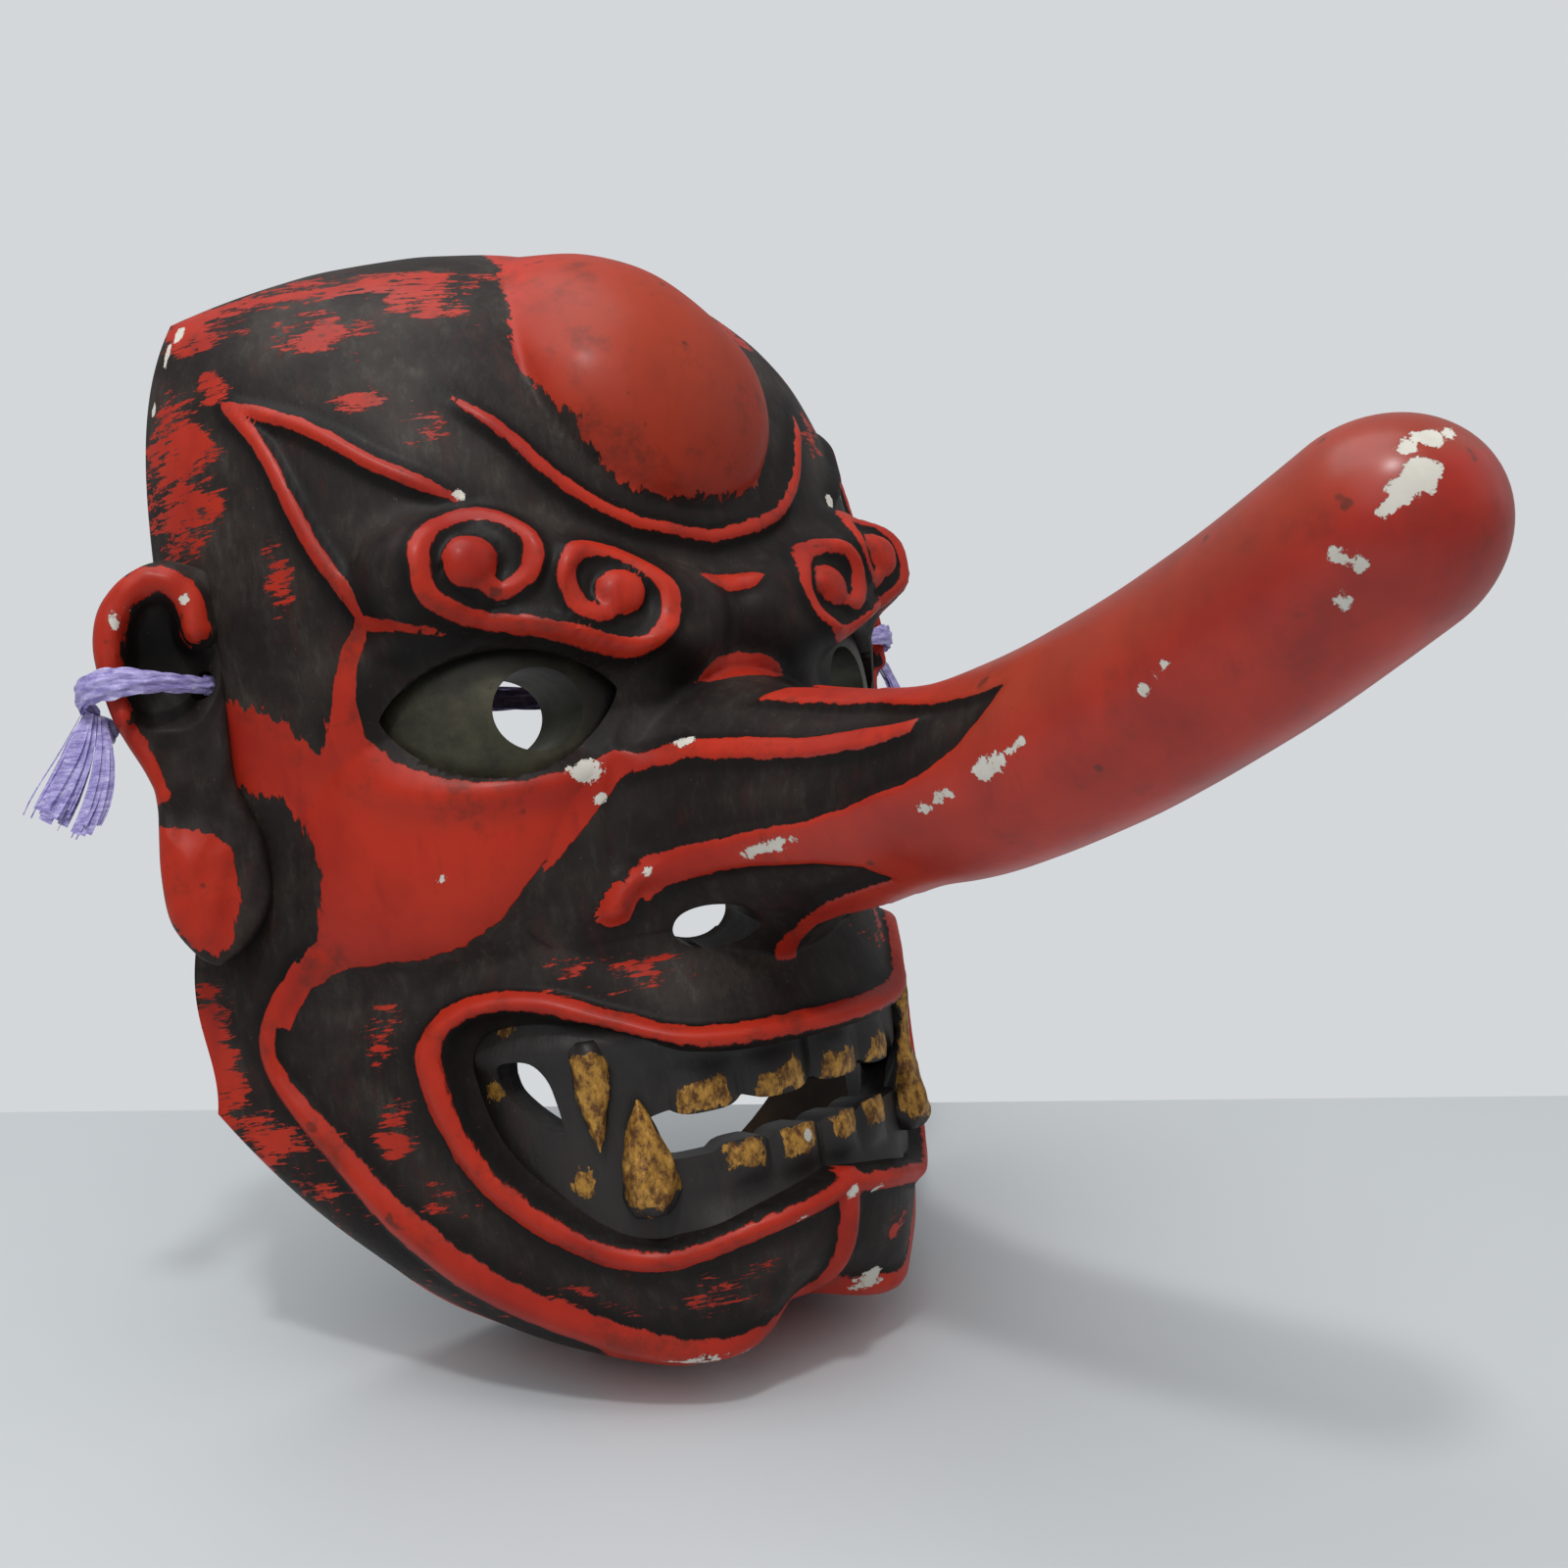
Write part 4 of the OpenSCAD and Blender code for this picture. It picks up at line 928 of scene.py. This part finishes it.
def tooth_bar(name, node, edge_z, far_z, corner_far, teeth, tooth_half, is_upper):
    """One bar as a relief on the arc: edge_z is the biting edge, far_z the edge under the lip."""
    up = 1 if is_upper else -1
    angle, k = grid(np.linspace(-bar_end, bar_end, 337), np.linspace(0, 1, 57))
    at_corner = ease(abs(angle), 35, 40)
    notch = notch_h * (1 - at_corner) * ease(abs(angle), 40, 30)
    for t in teeth:
        off = abs(angle - t) * arc_mm
        notch = np.where(off < tooth_half, notch_h * (off / tooth_half) ** 4, notch)
    low = edge_z + (slot_z - edge_z) * at_corner + up * notch
    z = low + (far_z + (corner_far - far_z) * at_corner - low) * k
    high = up * (z - edge_z)
    bulge, gold, chip = np.zeros(z.shape), np.full(z.shape, NO_GOLD), np.full(z.shape, NO_CHIP)
    tooth_side = (1 - ease(high, 4, tooth_h + 3)) * (0.75 + 0.25 * ease(high, 0, 3))
    for t in teeth:
        off = (angle - t) * arc_mm
        bulge = np.maximum(bulge, tooth_out * clamp(1 - (off / tooth_half) ** 2) * tooth_side)
        upper_edge = 5.8 - high - 0.14 * off * np.sign(t)
        patch = np.minimum(tooth_half - 1.2 - abs(off) - 0.25 * high, np.minimum(high - 0.3, upper_edge))
        gold = np.maximum(gold, patch)
    gum = gum_out * ease(high, 9, 20) + 1.2 * hill(angle, high, 45 * np.sign(angle), 12, 14, 14, 1)
    gum = gum * (1 - ease(abs(angle), 22, 34) * (ease(z, -70, -60) if is_upper else 0.95))
    back = on_arc(angle, arch_r - bar_t, z)[::4, ::4]
    points, faces = closed_relief(on_arc(angle, arch_r + bulge + gum, z), back)
    bar = make_piece(name, points, faces)
    if is_upper:
        for side in (-1, 1):
            through = placed((0, -arch_back, -77), outward_at(side * corner_at + 90), UP,
                             outward_at(side * corner_at))
            combine(bar, prism("corner_gap", corner_leaf * (-side, 1), 40, 80, through), "DIFFERENCE")
        spots = [(-65, 10, 2.2), (-61, 23, 1.8)]
    else:
        chip = np.hypot((angle + 4) * arc_mm, high - 3) - 1.3
        spots = [(-50, 3, 2.4)]
    for t, height_at, size in spots:
        gold = np.maximum(gold, size - np.hypot((angle - t) * arc_mm, high - height_at))
    rest = back.size // 3
    set_paint(bar, points, {"gold": np.append(gold, np.full(rest, NO_GOLD)),
                            "chip": np.append(chip, np.full(rest, NO_CHIP))})
    dress(bar, node, tooth_black, 48)


tooth_bar("upper_teeth", "upper_tooth_bar", slot_z + slot_h / 2, -61.0, -54.0, (-24, -8, 8, 24), 7.6, True)
tooth_bar("lower_teeth", "lower_tooth_bar", slot_z - slot_h / 2, -110.5, -110.5, (-18, -6, 6, 18), 6.0, False)


# Fangs: four carved pegs of wood with a round root, set in sockets of the tooth bars.
# Gold leaf covers them in front, worn thin at the tip, and the root and the back are black.
fang_gilt = gilt_material("fang_gilt")
fang_l, fang_lift, fang_lean = 19.0, 1.5, 1.6


def fang_pair(name, node, angle, z, root_r, way):
    """A fang on each side, way -1 pointing down or 1 up."""
    rings, around = 34, 36
    k, turn = grid(np.linspace(0, 1, rings), turns_of(around))
    along = -root_r * 0.8 + (fang_l + root_r * 0.8) * k
    share = clamp(along / fang_l)
    ball = np.sqrt(above(root_r**2 - along**2))
    body = np.clip(np.where(along < 0, ball, root_r * (1 - share**1.5) ** 0.8), 0.3, None)
    body = body * (1 + 0.08 * np.cos(3 * turn + 9 * k) + 0.05 * np.sin(5 * turn - 14 * k))
    showing = 2.4 * np.sin(turn) + 0.4 - 1.3 * ease(k, 0.88, 1.0) - 3 * ease(k, 0.22, 0.05)
    showing -= 0.9 * (way < 0)
    own = np.stack([np.cos(turn) * body, way * along, np.sin(turn) * body * 0.9 + fang_lean * share**2], -1)
    fangs = []
    for side in (-1, 1):
        outward = outward_at(side * angle)
        base = (arch_r + fang_lift) * outward + (0, -arch_back, z)
        levels = placed(base, (outward[1], -outward[0], 0), UP, outward)(own)
        fangs.append(capped(levels, levels[0].mean(0), levels[-1].mean(0)))
    points, faces = merged(fangs)
    pair = make_piece(name, points, faces)
    set_paint(pair, points, {"gold": np.tile(np.append(showing, [-5, -0.5]), 2),
                             "chip": np.full(len(points), NO_CHIP)})
    dress(pair, node, fang_gilt, 60)


fang_pair("upper_fang_pair", "upper_fangs", 45.0, -70.0, 4.25, -1)
fang_pair("lower_fang_pair", "lower_fangs", 37.0, -98.8, 5.75, 1)


# Ears: two leaves carved from thin wood and pegged to flat beds on the sides of the face.
# Rim and lobe are red and the hollow is black, where the strap comes out.
ear_top, ear_low, ear_w, ear_t, ear_sweep = 43.0, 40.0, 24.0, 7.0, math.radians(26)
helix_r, ear_sink, lobe_h = 4.2, 6.5, 2.4
# Edges by share of the height from below and share of the width; lines by distance outwards and height.
outer_edge = curve([
    (0, 0.42), (0.03, 0.56), (0.12, 0.73), (0.25, 0.75), (0.41, 0.7), (0.48, 0.74), (0.61, 0.92), (0.74, 1),
    (0.83, 1), (0.91, 0.9), (0.97, 0.68), (1, 0.42)])
inner_edge = curve([
    (0, 0.36), (0.05, 0.1), (0.15, -0.1), (0.3, -0.1), (0.45, 0.05), (0.7, 0), (0.85, -0.1), (0.95, -0.06),
    (1, 0.3)])
helix = curve([(21.4, 13), (22, 22), (20.5, 31), (15.5, 37.5), (9, 38.5), (5, 34.5), (4, 28)])
rim_patch = curve([(20, 9), (17.2, 2), (15.5, -4)])
lobe = [
    (12, -11.5), (17, -11), (19, -20), (18, -29), (14, -35.5), (9.5, -38), (5.5, -35.5), (3.5, -27), (4, -17),
    (7, -13)]


def ear_place(w, z, n, side):
    x = -half_w + 4 - w * math.cos(ear_sweep) - n * math.sin(ear_sweep)
    y = -19 + w * math.sin(ear_sweep) - n * math.cos(ear_sweep)
    return np.stack([-side * x, y, z], -1)


share, q = grid(np.linspace(1, 0, 81), np.linspace(0, 1, 181))
q = q - 0.06 * np.sin(2 * np.pi * q)
inner_w, outer_w = (ear_w * np.interp(q, *edge.T) for edge in (inner_edge, outer_edge))
w = inner_w + share * (outer_w - inner_w)
z = -ear_low + q * (ear_low + ear_top)
across = 2 * share - 1
rounding = 1 - np.sqrt(clamp(1 - across**8))
to_helix, to_patch = gap(w, z, helix)[0], gap(w, z, rim_patch)[0]
in_lobe = zone(w, z, lobe, False)
n = helix_r * clamp(1 - (to_helix / helix_r) ** 2) ** 0.7 + 1.6 * np.exp(-((to_patch / 2.8) ** 2))
n -= ear_sink * hill(w, z, 11.5, 22, 11, 14, 1.2) * ease(to_helix, 1.5, 5.5)
n += lobe_h * ease(in_lobe, -4, 8) - 2.6 * rounding + 0.25 * np.sin(w * 0.9) * np.sin(z * 0.4)
back_n = -ear_t - 1.2 * (1 - np.sqrt(clamp(1 - across**2)))
ear_flakes = [(31, 19.5, 1.1, 1.5), (34, 5.6, 0.7, 1), (33, 16.2, 0.5, 1)]
# Paint values of the front, each with the value that the back has.
# Painted shade darkens the ear's hollow, and its back a little.
ear_paint = {"red": (np.maximum(np.maximum(2.9 - to_helix, 2.0 - to_patch), in_lobe), NO_RED),
             "ragged": (0 * w + 1.3, 0.5), "chip": (flakes(z, w, ear_flakes), NO_CHIP),
             "stroke": (np.maximum(0.15, 0.8 * hill(w, z, 17, -22, 3.5, 20, 0.5)), 0.4),
             "hollow": (hill(w, z, 11.5, 20, 11, 16, 0.5), 0.3), "gloss": (0 * w + face_gloss, 0.1)}
ear_lacquer = lacquer_material("ear_lacquer", 0.4)
for side, name in SIDES:
    back = ear_place(w, z, back_n, side)[::4, ::4]
    points, faces = closed_relief(ear_place(w, z, n, side), back)
    ear = make_piece("ear_leaf_" + name, points, faces)
    combine(ear, strap_hole(side), "DIFFERENCE")
    set_paint(ear, points, {label: np.append(values, np.full(back.size // 3, at_back))
                            for label, (values, at_back) in ear_paint.items()})
    dress(ear, "ear_" + name, ear_lacquer, 55)


# Strap: lilac packing tape, gathered into a limp band behind the face.
# It comes out through each ear, turns round the rim to a knot, and ends in two torn tails.
tape, tree = new_material("tape_lilac")
film = speckle(tree, 900, 4, 0.7, (0.35, 0.35, 1.2), 1.0)
colour = mix(step_up(film, 0.35, 0.6), (0.25, 0.205, 0.50), (0.46, 0.41, 0.74))
# Painted highlights: the palest streaks of the film stand for glints on its creases.
colour = mix(step_up(film, 0.58, 0.72), colour, (0.82, 0.80, 0.93))
set_surface(tree, colour, film * 0.2 + 0.22, film, 0.6, 0.0004)
# Ways of the right side.
tape_d, tape_t, tape_folds, film_t, ribbon_count = 3.0, 2.2, 7, 0.14, 30
strap_half = [
    (-90.5, -14.2, 17), (-84, -12.6, 17), (-77, -11, 16.8), (-68, -9.4, 16), (-56, -8.4, 14.6),
    (-42, -7.8, 12.6), (-28, -7.4, 11), (-14, -7.1, 10.1), (0, -7, 9.8)]
loop_way = [
    (-90.5, -14.2, 17), (-95, -15.6, 17.4), (-100, -16.4, 18), (-105, -16.2, 18.4), (-109.5, -14.6, 18.6),
    (-112.6, -11.6, 18.3), (-113.4, -8.2, 17.4), (-112, -5.6, 15.6), (-110, -4.6, 13.4)]
knot_at = (-109.5, -5, 10.5)
tail_way = [(-111.2, -6.8, 13.8), (-113.5, -8.4, 9), (-115.8, -8, 3.5), (-118.3, -7, -1.5), (-121, -6, -6)]


def gathered_band(name, node, way, widths):
    """Band of folded film along a way; gives its middle line and length too, in metres."""
    line, around = curve(way), 40
    wide = np.interp(np.linspace(0, 1, len(line)), np.linspace(0, 1, len(widths)), widths) * tape_d
    along = unit(np.gradient(line, axis=0))
    flat = unit(np.cross(along, UP))
    tall = np.cross(flat, along)
    t = turns_of(around)
    rings = []
    for i, p in enumerate(line):
        crease = 1 + 0.16 * np.cos(tape_folds * t + 0.25 * i) + 0.08 * np.sin((tape_folds + 5) * t - 0.4 * i)
        upright, level = np.outer(np.cos(t) * crease, tall[i]), np.outer(np.sin(t) * crease, flat[i])
        rings.append(p + upright * wide[i] / 2 + level * tape_t / 2)
    band = make_piece(name, *capped(np.array(rings), line[0], line[-1]))
    dress(band, node, tape, 75)
    length = np.linalg.norm(np.diff(line, axis=0), axis=1).sum()
    return band, [tuple(p) for p in line * MM], length * MM


def tape_knot(name, node, at, side):
    """Overhand knot: three soft turns of film pulled tight."""
    long, short = 40, 14
    t, s = grid(turns_of(long), turns_of(short))
    turns = []
    for i, (tilt, size) in enumerate(((0.2, 2.5), (1.3, 2.2), (2.3, 2.4))):
        fat = 1.3 * (1 + 0.15 * np.cos(3 * t + i))
        ring = np.stack([(size + fat * np.cos(s)) * np.cos(t), fat * np.sin(s),
                         (size * 0.75 + fat * np.cos(s)) * np.sin(t)], -1)
        c, d = math.cos(tilt), math.sin(tilt)
        e, f = math.cos(tilt * 0.8), math.sin(tilt * 0.8)
        about_z, about_x = [[c, d, 0], [-d, c, 0], [0, 0, 1]], [[1, 0, 0], [0, e, f], [0, -f, e]]
        ring = ring @ about_z @ about_x
        points = ring.reshape(-1, 3) * (-side, 1, 1) + at
        turns.append((points, tube_faces(long + 1, short) % (long * short)))
    knot = make_piece(name, *merged(turns))
    dress(knot, node, tape, 60)
    return knot


def torn_tails(name, node, way, side, seed):
    """Ends of the tape: two flat tails of film, each split into ribbons that lie side by side."""
    draw = np.random.default_rng(seed)
    way = np.array(way)
    beside = np.array([-0.62 * side, -0.53, -0.56])
    facing = unit(np.cross(beside, way[-1] - way[0]))
    steps, corners = 9, 4
    k, end = np.linspace(0, 1, steps), (steps - 1) * corners
    end_faces = [[0, 1, 2], [0, 2, 3], [end, end + 2, end + 1], [end, end + 3, end + 2]]
    ribbons = []
    # Three ribbons of five are in the wide tail, and every sixth is a thin strand that hangs loose.
    for i in range(ribbon_count):
        middle, half = (6.4, 1.6) if i % 5 > 2 else (-1.2, 3.2)
        reach, place, width = draw.uniform(0.86, 1.08), draw.uniform(-1, 1), draw.uniform(1.6, 3)
        if i % 6 == 0:
            reach, place, width = 1.1, 1.6 * place, 0.3
        line = np.stack([np.interp(k * reach, np.linspace(0, 1, len(way)), c) for c in way.T], -1)
        line += above(k * reach - 1)[:, None] * (way[-1] - way[-2]) * (len(way) - 1)
        line += np.outer(ease(k, -0.6, 0.9), beside) * (middle + place * half)
        curl = 0.6 * np.sin(k * draw.uniform(2, 5) + draw.uniform(0, 6)) * k + draw.normal(0, 0.4)
        line += np.outer(curl, facing)
        twist = draw.normal(0, 0.25) + k * draw.normal(0, 0.5)
        flat = np.outer(np.cos(twist), beside) + np.outer(np.sin(twist), facing)
        out = (np.outer(np.cos(twist), facing) - np.outer(np.sin(twist), beside)) * film_t / 2
        edge = flat * (width * (0.4 + 0.6 * ease(k, 0, 0.4)) / 2)[:, None]
        ring = np.stack([line + edge, line + out, line - edge, line - out], 1)
        ribbons.append((ring.reshape(-1, 3), np.concatenate([tube_faces(steps, corners), end_faces])))
    tails = make_piece(name, *merged(ribbons))
    dress(tails, node, tape)
    return tails


strap_way = strap_half + [(-x, y, z) for x, y, z in strap_half[-2::-1]]
strap, strap_line, strap_length = gathered_band("strap_band", "strap", strap_way, [1.3, 1.7, 1.3])
for side, name in SIDES:
    loop_points, (knot_point,), tail_points = (
        [(-side * x, y, z) for x, y, z in way] for way in (loop_way, [knot_at], tail_way))
    loop, loop_line, loop_length = gathered_band("strap_loop_band_" + name, "strap_loop_" + name, loop_points,
                                                 [1, 1.2, 1.9, 1.7, 1])
    knot = tape_knot("strap_knot_turns_" + name, "strap_knot_" + name, knot_point, side)
    tuft = torn_tails("strap_tuft_" + name, "strap_tail_" + name, tail_points, side, 11 + side)


# Stage: a pale floor that the chin and the lower rim stand on, soft light, and the photograph's view.
# The floor's far edge is put where the picture shows it, and the floor can't be seen from below.
view_from = Vector((-0.23109, -0.34585, -0.02951))
view_right, view_up = Vector((0.74213, -0.65149, -0.15749)), Vector((0.10306, -0.12126, 0.98726))
view_ahead = Vector((0.66229, 0.74890, 0.02285))
lens_mm, sensor_mm = 38.25, 36
floor_up = Vector((-0.012, -0.248, 0.969)).normalized()
floor_level = min(floor_up @ v.co for v in face.data.vertices)


def on_floor(across, down):
    """Point of the floor that is seen at a place in the picture, in shares of its width from the middle."""
    ray = view_ahead * lens_mm / sensor_mm + view_right * across - view_up * down
    return view_from + ray * ((floor_level - floor_up @ view_from) / (floor_up @ ray))


far_left, far_right = on_floor(-0.5, 0.2094), on_floor(0.5, 0.1988)
sideways = (far_right - far_left).normalized() * 2
to_viewer = sideways.normalized().cross(floor_up) * 3
far_left, far_right = far_left - sideways, far_right + sideways
floor_mesh = bpy.data.meshes.new("floor")
floor_mesh.from_pydata([far_left, far_right, far_right + to_viewer, far_left + to_viewer], [], [(0, 1, 2, 3)])
if floor_mesh.polygons[0].normal @ floor_up < 0:
    floor_mesh.flip_normals()
pale, tree = new_material("pale_floor")
set_surface(tree, mix(speckle(tree, 6, 3), (0.585, 0.615, 0.64), (0.62, 0.65, 0.67)), 0.6)
top_side = Value(tree, tree.nodes["Principled BSDF"].outputs[0])
under_side = add(tree, "ShaderNodeBsdfTransparent")
below = add(tree, "ShaderNodeNewGeometry", output="Backfacing")
seen = add(tree, "ShaderNodeMixShader", {0: below, 1: top_side, 2: under_side})
feed(tree.nodes["Material Output"].inputs["Surface"], seen)
floor_mesh.materials.append(pale)
add_object("floor", floor_mesh)

world = bpy.data.worlds.new("studio")
bpy.context.scene.world = world
world.use_nodes = True
tree = world.node_tree
air = tree.nodes["Background"]
feed(air.inputs["Color"], (0.95, 0.98, 1.0, 1))
feed(air.inputs["Strength"], 0.34)
backdrop = add(tree, "ShaderNodeBackground", {"Color": (0.66, 0.68, 0.70, 1), "Strength": 1.0})
to_camera = add(tree, "ShaderNodeLightPath", output="Is Camera Ray")
sky = add(tree, "ShaderNodeMixShader", {0: to_camera, 1: Value(tree, air.outputs[0]), 2: backdrop})
feed(tree.nodes["World Output"].inputs["Surface"], sky)
aim = Vector((0, -0.07, 0))
for name, at, power, size in (("key", (-0.75, -0.75, 1.0), 7.0, 1.4), ("fill", (0.8, -0.9, 0.6), 1.5, 1.2),
                              ("top", (-0.15, -0.1, 1.05), 4.8, 0.8), ("glint", (-0.4, -0.6, 0.8), 3.0, 0.09)):
    lamp = bpy.data.lights.new(name, "AREA")
    lamp.energy, lamp.size = power, size
    light = add_object(name, lamp)
    light.location = at
    light.rotation_euler = (aim - Vector(at)).to_track_quat("-Z", "Y").to_euler()

lens = bpy.data.cameras.new("camera")
lens.lens, lens.sensor_width = lens_mm, sensor_mm
camera = add_object("camera", lens)
turned = Matrix((view_right, view_up, -view_ahead)).transposed().to_4x4()
camera.matrix_world = Matrix.Translation(view_from) @ turned
bpy.context.scene.camera = camera
bpy.context.scene.view_settings.view_transform = "Standard"
